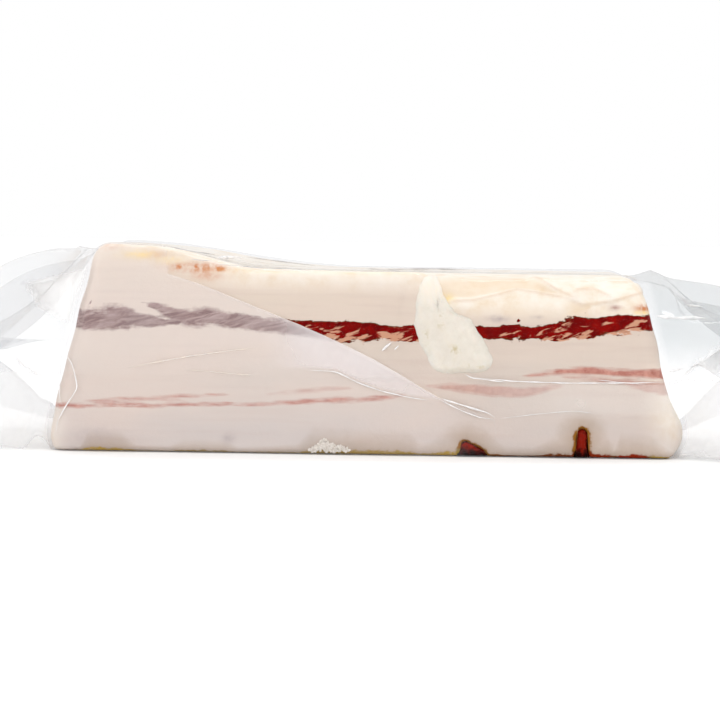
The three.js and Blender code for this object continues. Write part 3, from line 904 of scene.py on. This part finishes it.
def slabPaint(points, heights, onTop, hollowShade):
    # what the material reads at each point: distances in mm to the lean, rind and slits, and the shares
    # of stains, cream, the doubled film's haze painted in as light, and painted shade in the membrane's
    # hollows and under its folds
    x, y, z = points.T
    # the lean drifts on its way through the slab, to a course of its own on the back
    deep = smooth((y - faceY) / slab["depth"], 0.05, 0.95)
    drift = 1.3 * np.sin(y / 14 + x / 37) * smooth((y - faceY) / slab["depth"], 0, 0.25)
    backX = x * 0.9 - 6
    backZ = 33 + 1.8 * np.sin(backX / 23) + np.sin(backX / 9 + 1)
    upper, marbled = np.full(len(x), 9.0), np.zeros(len(x))
    for strand in upperLean:
        rows = np.array(strand)
        centre = mix(np.interp(x, rows[:, 0], rows[:, 1]), backZ, deep) + drift
        half = mix(np.interp(x, rows[:, 0], rows[:, 2]), 2.3 + 0.7 * np.sin(backX / 17 + 2), deep)
        away = (z - centre) / half
        marbled = np.where(np.abs(away) < upper, np.clip(-away, -0.9, 0.9) * 0.5, marbled)
        upper = np.minimum(upper, np.abs(away))
    lower = np.full(len(x), -9.0)
    redness = np.zeros(len(x))
    for red, line in lowerLean:
        rows = np.array(line)
        lineX = x + deep * 26 * math.sin(line[0][0])
        middle = np.interp(lineX, rows[:, 0], rows[:, 1]) + drift * 0.8
        width = np.interp(lineX, rows[:, 0], rows[:, 2])
        past = np.maximum(rows[0, 0] - lineX, lineX - rows[-1, 0])
        inside = width - np.abs(z - middle) - np.clip(past, 0, 9) * 0.35
        redness = np.where(inside > lower, red, redness)
        lower = np.maximum(lower, inside)
    fx, fz = onFace(points)
    near = smooth(-(y - packShift), 18, 30)
    weights = {}
    for key, spots in stains.items():
        total = np.zeros(len(x))
        for sx, sz, w, h, much in spots:
            off = ((fx - sx) / w) ** 2 + ((fz - sz) / h) ** 2
            total = np.maximum(total, much * np.exp(-off))
        weights[key] = total * near
    for sx, sz, w, h in marbling:
        marbled += np.exp(-((x - sx) / w) ** 2 - ((z - sz) / h) ** 2) * near
    # a thin tan line of painted shade just under the edge of each membrane fold
    foldShadeLine = np.zeros(len(x))
    for line, *_ in folds:
        rows = np.array(line)
        off = fz - np.interp(fx, rows[:, 0], rows[:, 1]) + 0.35
        ends = smooth(fx, rows[0, 0], rows[0, 0] + 4) * smooth(-fx, -rows[-1, 0], 4 - rows[-1, 0])
        foldShadeLine = np.maximum(foldShadeLine, bump(off, 0.4) * ends * near)
    rind = heights.copy()
    cut = np.full(len(x), 99.0)
    for slit in slits:
        cut = np.minimum(cut, outlineDistance(x, z, slit))
    rind = np.minimum(rind, cut * 1.05)  # the rind turns up into the slits
    edge = np.array(rindEdge)
    faceEdge = np.interp(fx, edge[:, 0], edge[:, 1])
    thick = mix(0.9 + 0.3 * np.sin(y / 9), faceEdge, near)
    beside = 1 - smooth(np.min([np.abs(x - slit[3][0]) for slit in slits], axis=0), 4.5, 12)
    rind = rind / mix(thick, 1.15, beside)
    rindTone = mix(0.3 + 0.3 * np.sin(x / 19 + y / 7), np.interp(fx, edge[:, 0], edge[:, 2]),
                   near)
    rindTone = mix(rindTone, 0.55, beside * (heights < 90) * smooth(z, 1.2, 2.4))
    # where the film is doubled: its haze is painted into the slab's colour as light
    veiled, amount = veilAt(fx, fz, near)
    # cream on the top, the membrane, the two ends and the top front edge
    overEdge = smooth(fx, 14, 24) * smooth(fz, 36, 42) * near
    rightCream = smooth(x, 73, 84) * smooth(-z, -32, -20) * mix(0.3, 0.8, smooth(z, 3, 12))
    leftCream = 0.7 * smooth(-x, 79, 87) * smooth(-z, -22, -8)
    edgeCream = 0.8 * smooth(fz - topFrontHeight(fx), -8, -1) * near
    edgeCream *= mix(0.5, 1, smooth(fx, -62, -30))
    topCream = onTop * smooth(z, 40, 46)
    cream = np.max([topCream, overEdge, rightCream, leftCream, edgeCream], axis=0)
    return {
        "upper": np.stack([upper, marbled, foldShadeLine], 1),
        "lower": np.stack([lower, redness, amount], 1),
        "stain": np.stack([weights["orange"], weights["yellow"], weights["grey"]], 1),
        "tone": np.stack([cream, rind, rindTone], 1),
        "under": np.stack([veiled, hollowShade, cut], 1),
    }


def curedBelly():
    # dry-salted pork belly, cut: waxy off-white fat, dark red lean with tan marbling, and a
    # browned rind
    material, add, shader, _ = newMaterial("cured pork belly")
    spots = spotsInMm(add)
    offset, marbled, foldShadeLine = attributeParts(add, "upper")
    inside, redness, doubled = attributeParts(add, "lower")
    orange, yellow, grey = attributeParts(add, "stain")
    cream, rind, rindTone = attributeParts(add, "tone")
    veiled, hollowShade, cut = attributeParts(add, "under")
    # the share under the film's second fold, where the slab's colour is made paler as painted light for
    # the film's haze
    paintedVeilLight = add("ShaderNodeMapRange", {0: veiled, 1: -0.06, 2: 0.06})
    fine = add("ShaderNodeTexNoise", {"Vector": spots, "Scale": 0.55, "Detail": 5,
                                      "Roughness": 0.65})

    # the fat: cloudy and faintly layered, paler where the film is doubled, as painted light for the
    # haze of the doubled film, and creamy on the top
    height = add("ShaderNodeMapRange", {0: heightInMm(add, spots), 1: 0, 2: 56})
    fat = add("ShaderNodeValToRGB", {0: height}, stops=[
        (0.1, "#CAC0BA"), (0.9, "#DACABA"), (0.5, "#D2C4B7")])
    cloud = add("ShaderNodeTexNoise", {"Vector": spotsInMm(add, (0.25, 0.6, 1)), "Scale": 0.09,
                                       "Detail": 4, "Distortion": 0.5})
    cloudShare = add("ShaderNodeMapRange", {0: cloud, 1: 0.35, 2: 0.75, 3: 0, 4: 0.5})
    layer = add("ShaderNodeTexNoise", {"Vector": spotsInMm(add, (0.06, 0.2, 1)), "Scale": 0.55,
                                       "Detail": 3})
    layerShare = add("ShaderNodeMapRange", {0: layer, 1: 0.5, 2: 0.8, 3: 0, 4: 0.35})
    paler = add("ShaderNodeMapRange", {0: doubled, 1: 0, 2: 0.42, 3: 0, 4: 0.85})
    lighter = add("ShaderNodeMath", {0: paintedVeilLight, 1: paler}, operation="MULTIPLY")
    patch = add("ShaderNodeTexNoise", {"Vector": spots, "Scale": 0.16, "Detail": 5,
                                       "Roughness": 0.62})
    creamy = add("ShaderNodeValToRGB", {0: patch}, stops=[
        (0.3, "#F3ECE1"), (0.75, "#E4D0B4"), (0.5, "#EFE5D6")])
    # tan painted shade in the membrane's hollows
    deep = add("ShaderNodeMath", {0: hollowShade, 1: 0.5}, operation="MULTIPLY")
    fat = layered(add, fat, [(cloudShare, "#DECABC"), (layerShare, "#C5B0A6"),
                             (lighter, "#E6DCD7"), (cream, creamy), (deep, "#DEC4A2")])

    # stains of the cure, broken up by noise
    for part, hexColour, strength in ((orange, "#C88258", 1.4), (yellow, "#F1D698", 1.2),
                                      (grey, "#A99B9A", 0.9)):
        broken = add("ShaderNodeMapRange", {0: fine, 1: 0.35, 2: 0.58, 3: 0.35, 4: strength})
        share = add("ShaderNodeMath", {0: part, 1: broken}, operation="MULTIPLY",
                    use_clamp=True)
        fat = layered(add, fat, [(share, hexColour)])

    # thin lower streaks of lean
    ragged = add("ShaderNodeTexNoise", {"Vector": spotsInMm(add, (0.18, 0.4, 1)), "Scale": 0.8,
                                        "Detail": 5, "Roughness": 0.6})
    wobble = add("ShaderNodeMapRange", {0: ragged, 1: 0, 2: 1, 3: -1.1, 4: 1.1})
    edge = add("ShaderNodeMath", {0: inside, 1: wobble}, operation="ADD")
    streak = add("ShaderNodeMapRange", {0: edge, 1: -0.35, 2: 0.55})
    streakShare = add("ShaderNodeMath", {0: streak, 1: redness}, operation="MULTIPLY")
    streakTone = add("ShaderNodeValToRGB", {0: fine}, stops=[(0.3, "#A35B4E"), (0.7, "#C98F80")])
    # the painted shade under the edges of the membrane's folds
    line = add("ShaderNodeMath", {0: foldShadeLine, 1: 0.4}, operation="MULTIPLY")

    # the upper layer of lean: torn edges with a brown rim, tan marbling that climbs to the right, and a
    # dull mauve where the film is doubled over it, painted light that stands in for the doubled film's
    # haze
    coarse = add("ShaderNodeTexNoise", {"Vector": spotsInMm(add, (0.22, 0.4, 1)), "Scale": 0.42,
                                        "Detail": 5, "Roughness": 0.6})
    sway = add("ShaderNodeMapRange", {0: coarse, 1: 0, 2: 1, 3: -0.95, 4: 0.95})
    torn = add("ShaderNodeMapRange", {0: fine, 1: 0, 2: 1, 3: -0.5, 4: 0.5})
    edge = add("ShaderNodeMath", {0: offset, 1: sway}, operation="ADD")
    edge = add("ShaderNodeMath", {0: edge, 1: torn}, operation="ADD")
    outer = add("ShaderNodeMath", {0: paintedVeilLight, 1: 0.2, 2: 1.05}, operation="MULTIPLY_ADD")
    inner = add("ShaderNodeMath", {0: paintedVeilLight, 1: -0.25, 2: 0.95}, operation="MULTIPLY_ADD")
    lean = add("ShaderNodeMapRange", {0: edge, 1: outer, 2: inner})
    rim = add("ShaderNodeMapRange", {0: edge, 1: 0.8, 2: 0.96})
    leanTone = add("ShaderNodeValToRGB", {0: fine}, stops=[
        (0.3, "#580202"), (0.7, "#900A03"), (0.5, "#720302")])
    slanted = spotsInMm(add, (0.24, 0.5, 1), (0, math.radians(14), 0))
    veins = add("ShaderNodeTexNoise", {"Vector": slanted, "Scale": 0.75, "Detail": 4,
                                       "Roughness": 0.55, "Distortion": 0.8})
    tan = add("ShaderNodeMath", {0: marbled, 1: 0.14, 2: veins}, operation="MULTIPLY_ADD")
    marble = add("ShaderNodeMapRange", {0: tan, 1: 0.585, 2: 0.65})
    pale = add("ShaderNodeValToRGB", {0: veins}, stops=[(0.35, "#785654"), (0.68, "#B39B96")])
    leanTone = layered(add, leanTone, [(rim, "#5A2A10"), (marble, "#C79478"),
                                       (paintedVeilLight, pale)])

    # the rind: golden skin with olive and brown-red stretches, under a faint brown blush, and a nearly
    # black line of painted shade at the edge of a slit
    skin = add("ShaderNodeValToRGB", {0: rindTone}, stops=[
        (0.0, "#B59228"), (1.0, "#8E2408"), (0.3, "#9C8240"), (0.45, "#8C7850"),
        (0.55, "#8C5C1E"), (0.65, "#6E3C18")])
    rough = add("ShaderNodeMapRange", {0: fine, 1: 0.3, 2: 0.7, 3: -0.5, 4: 0.5})
    depth = add("ShaderNodeMath", {0: rind, 1: rough}, operation="ADD")
    blush = add("ShaderNodeMapRange", {0: depth, 1: 6.0, 2: 0.9, 3: 0, 4: 0.5})
    hard = add("ShaderNodeMapRange", {0: depth, 1: 1.15, 2: 0.75})
    # painted shade: a nearly black line where the face turns into a slit
    brink = add("ShaderNodeMapRange", {0: cut, 1: 0.4, 2: 0.12, 3: 0, 4: 0.8})
    fat = layered(add, fat, [(streakShare, streakTone), (line, "#D2B294"), (lean, leanTone),
                             (blush, "#9C8060"), (hard, skin), (brink, "#3A140A")])
    grain = add("ShaderNodeBump", {"Height": fine, "Strength": 0.35, "Distance": 0.3 * mm})
    setInputs(shader, {"Base Color": fat, "Roughness": 0.45, "Specular IOR Level": 0.04,
                       "Subsurface Weight": 0.03, "Subsurface Radius": (1, 0.6, 0.45),
                       "Subsurface Scale": 1.5 * mm, "Normal": grain})
    return material


slabPiece = makeSlab(curedBelly())
print("the slab is made")


def treeOf(piece):
    points = [v.co / mm for v in piece.data.vertices]
    return BVHTree.FromPolygons(points, [tuple(p.vertices) for p in piece.data.polygons])


slabTree = treeOf(slabPiece)
filmTree = treeOf(pouchPiece)


def drape(tree, x, z):
    # the place and normal where the camera's line through a spot of the face meets a piece
    way = Vector((x, faceY, z)) - Vector(eye)
    hit, normal, _, _ = tree.ray_cast(Vector(eye), way.normalized())
    return (np.array(hit), np.array(normal)) if hit else (None, None)


def resampled(line, count):
    line = np.array(line, float)
    steps = np.linalg.norm(np.diff(line[:, :2], axis=0), axis=1)
    share = np.concatenate([[0], np.cumsum(steps)]) / steps.sum()
    wanted = np.linspace(0, 1, count)
    return np.stack([np.interp(wanted, share, line[:, k]) for k in range(line.shape[1])], 1)


def softLine(line, count):
    # a run of points with its corners rounded
    points = resampled(line, count * 4)
    kernel = np.hanning(max(5, count // 3 * 2 + 1))
    kernel /= kernel.sum()
    pad = len(kernel) // 2
    rounded = []
    for k in range(points.shape[1]):
        run = points[:, k]
        longer = np.concatenate([2 * run[0] - run[pad:0:-1], run, 2 * run[-1] - run[-2:-pad - 2:-1]])
        rounded.append(np.convolve(longer, kernel, "valid"))
    return np.stack(rounded, 1)[::4]


def makeTongue(material):
    rows, columns = tongue["rows"], tongue["columns"]
    left = softLine(tongue["left"], rows)
    right = softLine(tongue["right"], rows)
    outer, inner, seen = [], [], []
    for i in range(rows):
        v = i / (rows - 1)
        for j in range(columns):
            u = j / (columns - 1)
            ragged = 0.14 * math.sin(i * 0.4) + 0.08 * math.sin(i * 0.9 + 1)
            spot = mix(left[i], right[i], u) + (ragged * (2 * u - 1) * abs(2 * u - 1), 0)
            tip = smooth(v, 0.8, 1.0)
            spot = spot + (0, -1.1 * tip * math.sin(math.pi * u) - 0.3 * tip * math.sin(9 * u))
            hit, normal = drape(slabTree, *spot)
            dome = (1 - abs(2 * u - 1) ** 2.6) ** 0.8 * (0.7 + 0.3 * smooth(u, 0, 0.6))
            rise = dome * smooth(v, -0.3, 0.4) * (1 - smooth(v, 0.9, 1.0) ** 2)
            lump = 0.25 * math.sin(u * 7 + v * 5) * math.sin(v * 9 + 1) + 0.12 * math.sin(u * 17)
            outside, _ = drape(filmTree, *spot)
            room = np.linalg.norm(outside - hit) - 0.12
            outer.append(hit + normal * min(rise * (tongue["proud"] + lump) - 0.25, room))
            inner.append(hit - normal * 0.9)
            seen.append(spot)
    faces = []
    count = rows * columns
    for i in range(rows - 1):
        for j in range(columns - 1):
            a = i * columns + j
            quad = (a, a + 1, a + columns + 1, a + columns)
            faces += [quad, tuple(k + count for k in reversed(quad))]
    rim = list(range(columns))
    rim += [i * columns + columns - 1 for i in range(1, rows)]
    rim += [(rows - 1) * columns + j for j in range(columns - 2, -1, -1)]
    rim += [i * columns for i in range(rows - 2, 0, -1)]
    for a, b in zip(rim, rim[1:] + rim[:1]):
        faces.append((a, b, b + count, a + count))
    seenX, seenZ = np.array(seen).T
    olive = np.zeros(len(seen))
    for x, z, w, h in tongue["specks"]:
        olive = np.maximum(olive, np.exp(-((seenX - x) / w) ** 2 - ((seenZ - z) / h) ** 2))
    root = np.repeat(1 - smooth(np.linspace(0, 1, rows), 0.05, 0.35), columns)
    paint = np.stack([olive, root, np.zeros(len(olive))], 1)
    return makeMesh("fat_tongue", np.array(outer + inner), faces, material,
                    {"stain": np.vstack([paint, paint])})


def softFat():
    # soft leaf fat, torn and folded: milk-white, moist, with olive specks of the cure
    material, add, shader, _ = newMaterial("soft leaf fat")
    fine = add("ShaderNodeTexNoise", {"Vector": spotsInMm(add), "Scale": 0.5, "Detail": 5,
                                      "Roughness": 0.62})
    body = add("ShaderNodeValToRGB", {0: fine}, stops=[(0.3, "#DBD3C5"), (0.7, "#E5DED2")])
    olive, root, _ = attributeParts(add, "stain")
    broken = add("ShaderNodeMapRange", {0: fine, 1: 0.5, 2: 0.66, 3: 0, 4: 0.8})
    share = add("ShaderNodeMath", {0: olive, 1: broken}, operation="MULTIPLY")
    body = layered(add, body, [(root, "#EFE5D6"), (share, "#B9A878")])
    grain = add("ShaderNodeBump", {"Height": fine, "Strength": 0.3, "Distance": 0.3 * mm})
    setInputs(shader, {"Base Color": body, "Roughness": 0.4, "Specular IOR Level": 0.2,
                       "Subsurface Weight": 0.25, "Subsurface Radius": (1, 0.7, 0.5),
                       "Subsurface Scale": 3 * mm, "Normal": grain})
    return material


tonguePiece = makeTongue(softFat())


# the flesh in the slits, in mm: how far each lies behind the long face, and how high its foot is
slitFlesh = {"recess": (0.6, 0.5), "foot": (0.3, 0.2), "wider": 1.12, "higher": 0.35,
             "steps": 48, "stations": 34, "faceRings": (0.08, 0.45, 0.75, 0.93)}


def makeSlitFlesh(name, slit, material, recess, foot):
    # wet flesh that fills a slit from front to back, set back from the two faces
    rows = np.array(slit, float)
    middle = rows[:, 0].mean()
    outline = [(mix(middle, x, slitFlesh["wider"]), z + slitFlesh["higher"])
               for x, z in rows if z > 0]
    outline = [(rows[0, 0] + 0.15, foot), *outline, (rows[-1, 0] - 0.15, foot)]
    outline = resampled(outline + outline[:1], slitFlesh["steps"] + 1)[:-1]
    centre = outline.mean(axis=0)
    count = len(outline)
    rings = [(share, faceY + recess + 0.5 * share ** 3) for share in slitFlesh["faceRings"]]
    rings += [(1, y) for y in np.linspace(faceY + recess + 1.2, backY - 2.5,
                                          slitFlesh["stations"])]
    points = []
    for share, y in rings:
        ring = centre + (outline - centre) * share
        points.append(np.column_stack([ring[:, 0], np.full(count, y), ring[:, 1]]))
    points = np.vstack(points)
    points[:, 1] += 0.18 * lumps(points, 1.6, 21) * (points[:, 1] < faceY + 3)
    points[:, 2] = np.maximum(points[:, 2], 0.1)
    faces = []
    for i in range(len(rings) - 1):
        faces += bandFaces(i * count, (i + 1) * count, count)
    faces.append(tuple(range(count)))
    faces.append(tuple((len(rings) - 1) * count + k for k in reversed(range(count))))
    return makeMesh(name, points, faces, material)


def wetFlesh():
    # cured muscle and blood in the slits: dark red and wet, darker toward its foot and nearly black
    # there, as painted shadow deep in the slit
    material, add, shader, _ = newMaterial("wet cured flesh")
    spots = spotsInMm(add)
    fine = add("ShaderNodeTexNoise", {"Vector": spots, "Scale": 0.9, "Detail": 4})
    # painted shadow: the lower the flesh in the slit, the darker
    rise = add("ShaderNodeMapRange", {0: heightInMm(add, spots), 1: 0.2, 2: 3.0, 3: -0.25,
                                      4: 0.25})
    mixed = add("ShaderNodeMath", {0: fine, 1: rise}, operation="ADD")
    tone = add("ShaderNodeValToRGB", {0: mixed}, stops=[
        (0.3, "#0E0101"), (0.8, "#861A0B"), (0.55, "#400602")])
    grain = add("ShaderNodeBump", {"Height": fine, "Strength": 0.6, "Distance": 0.4 * mm})
    setInputs(shader, {"Base Color": tone, "Roughness": 0.35, "Specular IOR Level": 0.04,
                       "Normal": grain})
    return material


flesh = wetFlesh()
fleshPieces = [makeSlitFlesh("slit_flesh_%d" % i, slit, flesh, slitFlesh["recess"][i],
                             slitFlesh["foot"][i]) for i, slit in enumerate(slits)]
print("the tongue of fat and the slits are made")


# sharp folds of the film: line on the face, thickness in mm, and which of the three finishes; the
# bright finish paints a highlight along the fold, the grey one paints shade in it
creases = [
    (veilLine, 0.1, "warm"),
    ([(-64.5, 22.8), (-57.7, 24.3), (-47.5, 26.3), (-36, 28.0), (-28.6, 29.0)], 0.2, "warm"),
    ([(-49.1, 22.5), (-43, 22.3), (-37.5, 21.8), (-28.5, 21.2)], 0.14, "warm"),
    ([(-16.1, 23.0), (-8.0, 22.7), (-2.0, 19.7), (4.2, 17.6), (12.1, 15.9), (18.6, 15.1)],
     0.22, "bright"),
    ([(20.2, 15.9), (26.5, 14.0), (33.2, 12.1), (35.7, 10.5)], 0.34, "bright"),
    ([(20.2, 15.4), (26.0, 12.6), (31.0, 10.8), (35.5, 10.3)], 0.2, "bright"),
    ([(28.7, 21.7), (39.3, 20.8), (53.9, 20.5), (65.5, 20.7), (75.5, 20.9), (82.2, 21.2)],
     0.24, "bright"),
    ([(62, 21.5), (69, 20.9), (77, 20.3)], 0.14, "bright"),
    ([(26.5, 22.6), (28.7, 21.5), (34, 20.9), (39, 20.4)], 0.2, "bright"),
    ([(35.7, 10.5), (46.7, 12.0), (56.4, 13.0), (63.8, 12.2)], 0.12, "bright"),
    # short white marks that paint glints on the film
    ([(4.2, 28.4), (5.6, 29.8), (7.2, 31.1)], 0.4, "bright"),
    ([(7.6, 28.8), (9.0, 30.2)], 0.22, "bright"),
    ([(-81.5, 26.9), (-79.4, 23.9), (-78.5, 20.7), (-77.8, 17.2), (-81.1, 12.0), (-83.1, 8.2),
      (-83.6, 4.4)], 0.22, "bright"),
    ([(-82.2, 27.0), (-82.6, 18.7), (-82.7, 14.7), (-81.6, 11.6)], 0.14, "bright"),
    ([(-95.1, 26.3), (-93.5, 23.9), (-89.1, 21.0), (-86.4, 20.5)], 0.3, "bright"),
    # painted highlights on the right flap
    ([(78.0, 39.0), (85, 38.5), (92.4, 38.6)], 0.7, "bright"),
    ([(86, 42.0), (91, 41.6)], 0.35, "bright"),
    ([(81.6, 23.9), (86.2, 25.0)], 0.3, "bright"),
    # grey lines of painted shade in the folds of the top film
    ([(4.8, 50.4), (11.5, 50.7), (19.6, 50.8), (28.2, 50.7)], 0.25, "grey"),
    ([(-0.4, 50.6), (3.4, 50.4), (10.2, 49.9)], 0.12, "grey"),
    ([(-53.0, 55.6), (-47.8, 54.6), (-40.5, 53.7)], 0.18, "grey"),
    ([(-47.8, 52.5), (-45.1, 52.2), (-41.1, 52.0)], 0.12, "grey"),
    ([(-32.7, 53.2), (-29.0, 52.8), (-20.9, 51.9), (-13.3, 51.1)], 0.18, "grey"),
    ([(-41.0, 51.2), (-34.3, 50.8), (-28.9, 50.3), (-20.8, 50.2), (-14.1, 49.7)], 0.15, "grey"),
    ([(-40.4, 52.9), (-36, 53.1), (-32.7, 53.0)], 0.6, "bright"),
]
creaseSizes = {"step": 0.7, "sides": 6, "proud": 0.04}


def makeCreases(name, kind, material):
    data = bpy.data.curves.new("crease lines", "CURVE")
    data.dimensions = "3D"
    for line, radius, finish in creases:
        if finish != kind:
            continue
        length = np.linalg.norm(np.diff(np.array(line), axis=0), axis=1).sum()
        count = max(8, int(length / creaseSizes["step"]))
        path = softLine(line, count)
        places = []
        for x, z in path:
            hit, normal = drape(filmTree, x, z)
            if hit is not None:
                places.append(hit + normal * creaseSizes["proud"])
        spline = data.splines.new("POLY")
        spline.points.add(len(places) - 1)
        for i, place in enumerate(places):
            share = i / (len(places) - 1)
            taper = min(1, 5 * share, 5 * (1 - share)) * (0.75 + 0.25 * math.sin(i * 0.6))
            spline.points[i].co = (*(place * mm), 1)
            spline.points[i].radius = max(0.05, taper) * radius
    source = addPiece("crease_source", data)
    tree, add, given = newTree("folded film edge", {"Thickness": "Float", "Sides": "Int"})
    section = add("GeometryNodeCurvePrimitiveCircle", {"Resolution": given["Sides"],
                                                       "Radius": given["Thickness"]})
    taper = add("GeometryNodeInputRadius")
    tube = add("GeometryNodeCurveToMesh", {"Curve": given["Geometry"], "Profile Curve": section,
                                           "Scale": taper, "Fill Caps": True})
    shaded = add("GeometryNodeSetShadeSmooth", {"Geometry": tube})
    values = {"Thickness": mm, "Sides": creaseSizes["sides"]}
    return realized(name, source, tree, shaded, material, values)


def newTree(name, sizes):
    # a Geometry Nodes tree with named inputs, addNode for it, and what it is given
    tree = bpy.data.node_groups.new(name, "GeometryNodeTree")
    sockets = {"Geometry": "Geometry", **sizes}
    for label, kind in sockets.items():
        tree.interface.new_socket(label, in_out="INPUT", socket_type="NodeSocket" + kind)
    tree.interface.new_socket("Geometry", in_out="OUTPUT", socket_type="NodeSocketGeometry")
    add = partial(addNode, tree)
    return tree, add, add("NodeGroupInput").node.outputs


def realized(name, source, tree, shape, material, values):
    # ends a tree, runs it on an object and keeps the result as a plain mesh
    real = addNode(tree, "GeometryNodeRealizeInstances", {"Geometry": shape})
    dressed = addNode(tree, "GeometryNodeSetMaterial", {"Geometry": real, "Material": material})
    setInputs(tree.nodes.new("NodeGroupOutput"), {"Geometry": dressed})
    modifier = source.modifiers.new("nodes", "NODES")
    modifier.node_group = tree
    for item in tree.interface.items_tree:
        if item.item_type == "SOCKET" and item.in_out == "INPUT" and item.name in values:
            modifier[item.identifier] = values[item.name]
    graph = bpy.context.evaluated_depsgraph_get()
    mesh = bpy.data.meshes.new_from_object(source.evaluated_get(graph))
    source.modifiers.remove(modifier)
    bpy.data.objects.remove(source)
    mesh.name = name
    return addPiece(name, mesh)


def foldedFilm(name, hexColour, clearness):
    # the same film along a fold, as a thin half-clear tube: white where it paints a highlight along the
    # crease, grey where it paints shade in the fold, warm where the fold is tinted by the fat
    material, add, shader, output = newMaterial(name)
    fine = add("ShaderNodeTexNoise", {"Vector": spotsInMm(add), "Scale": 0.4, "Detail": 3})
    tone = layered(add, hexColour, [(fine, "#FFFFFF")])
    setInputs(shader, {"Base Color": tone, "Roughness": 0.12})
    clear = add("ShaderNodeBsdfTransparent")
    faint = add("ShaderNodeMapRange", {0: fine, 1: 0.3, 2: 0.7, 3: clearness,
                                       4: clearness + 0.35})
    whole = add("ShaderNodeMixShader", {0: faint, 1: shader.outputs[0], 2: clear})
    setInputs(output, {"Surface": whole})
    return material


creasePieces = [
    makeCreases("film_creases", "bright", foldedFilm("creased film, painted highlight", "#FBF8F7", 0.1)),
    makeCreases("film_creases_warm", "warm", foldedFilm("creased film over fat", "#F2DFC8", 0.3)),
    makeCreases("film_creases_grey", "grey", foldedFilm("film fold in shadow", "#8C8484", 0.1)),
]
print("the film's creases are made")


crumbs = {"count": 150, "size": 0.55, "seed": 5,
          "heap": [(-15.4, 1.5), (-13.0, 2.7), (-10.9, 4.7), (-9.3, 3.1), (-6.5, 2.6), (-3.6, 1.5)],
          "floor": 1.15,
          "dent": 1.2, "push": 0.55,  # mm, the width and depth of a crumb's dents
          "turns": (6.28, 6.28, 6.28), "least": (0.35, 0.3, 0.35), "most": (1.25, 0.8, 1.0)}


def makeCrumbs(material):
    # crumbs of salt and fat, caught between the film and the foot of the long face
    heap = resampled(crumbs["heap"], 25)
    points, faces = [], []
    for x, z in heap:
        for share in (0, 0.5, 1):
            hit, normal = drape(slabTree, x, mix(crumbs["floor"], z, share))
            points.append(hit + normal * 0.1)
    for i in range(len(heap) - 1):
        for k in (0, 1):
            a = i * 3 + k
            faces.append((a, a + 3, a + 4, a + 1))
    source = makeMesh("crumb_source", np.array(points), faces, material)
    tree, add, given = newTree("scattered crumbs", {"Size": "Float", "Density": "Float",
                                                    "Seed": "Int"})
    spread = add("GeometryNodeDistributePointsOnFaces", {
        "Mesh": given["Geometry"], "Density": given["Density"], "Seed": given["Seed"]})
    crumb = add("GeometryNodeMeshIcoSphere", {"Radius": given["Size"], "Subdivisions": 2})
    push = add("ShaderNodeTexNoise", {"Scale": 3 / (crumbs["dent"] * mm), "Detail": 2.0}, "Color",
               noise_dimensions="3D")
    centred = add("ShaderNodeVectorMath", {0: push, 1: (0.5, 0.5, 0.5)}, operation="SUBTRACT")
    offset = add("ShaderNodeVectorMath", {0: centred, "Scale": crumbs["push"] * mm},
                 operation="SCALE")
    rough = add("GeometryNodeSetPosition", {"Geometry": crumb, "Offset": offset})
    turn = add("FunctionNodeRandomValue", {0: (0, 0, 0), 1: crumbs["turns"],
                                           "Seed": given["Seed"]}, data_type="FLOAT_VECTOR")
    size = add("FunctionNodeRandomValue", {0: crumbs["least"], 1: crumbs["most"],
                                           "Seed": given["Seed"]}, data_type="FLOAT_VECTOR")
    placed = add("GeometryNodeInstanceOnPoints", {
        "Points": spread, "Instance": rough, "Rotation": turn, "Scale": size})
    area = sum(p.area for p in source.data.polygons)
    values = {"Size": crumbs["size"] * mm, "Density": crumbs["count"] / area,
              "Seed": crumbs["seed"]}
    return realized("fat_crumbs", source, tree, placed, material, values)


def saltCrumb():
    # coarse salt with crumbs of fat: dull white grains
    material, add, shader, _ = newMaterial("salt and fat crumbs")
    fine = add("ShaderNodeTexNoise", {"Vector": spotsInMm(add), "Scale": 1.1, "Detail": 3})
    tone = add("ShaderNodeValToRGB", {0: fine}, stops=[(0.3, "#D8D0C6"), (0.7, "#ECE6DE")])
    setInputs(shader, {"Base Color": tone, "Roughness": 0.6})
    return material


crumbPiece = makeCrumbs(saltCrumb())
print("the crumbs are made")

for piece in (pouchPiece, slabPiece, tonguePiece, *fleshPieces, *creasePieces, crumbPiece):
    finishPiece(piece)
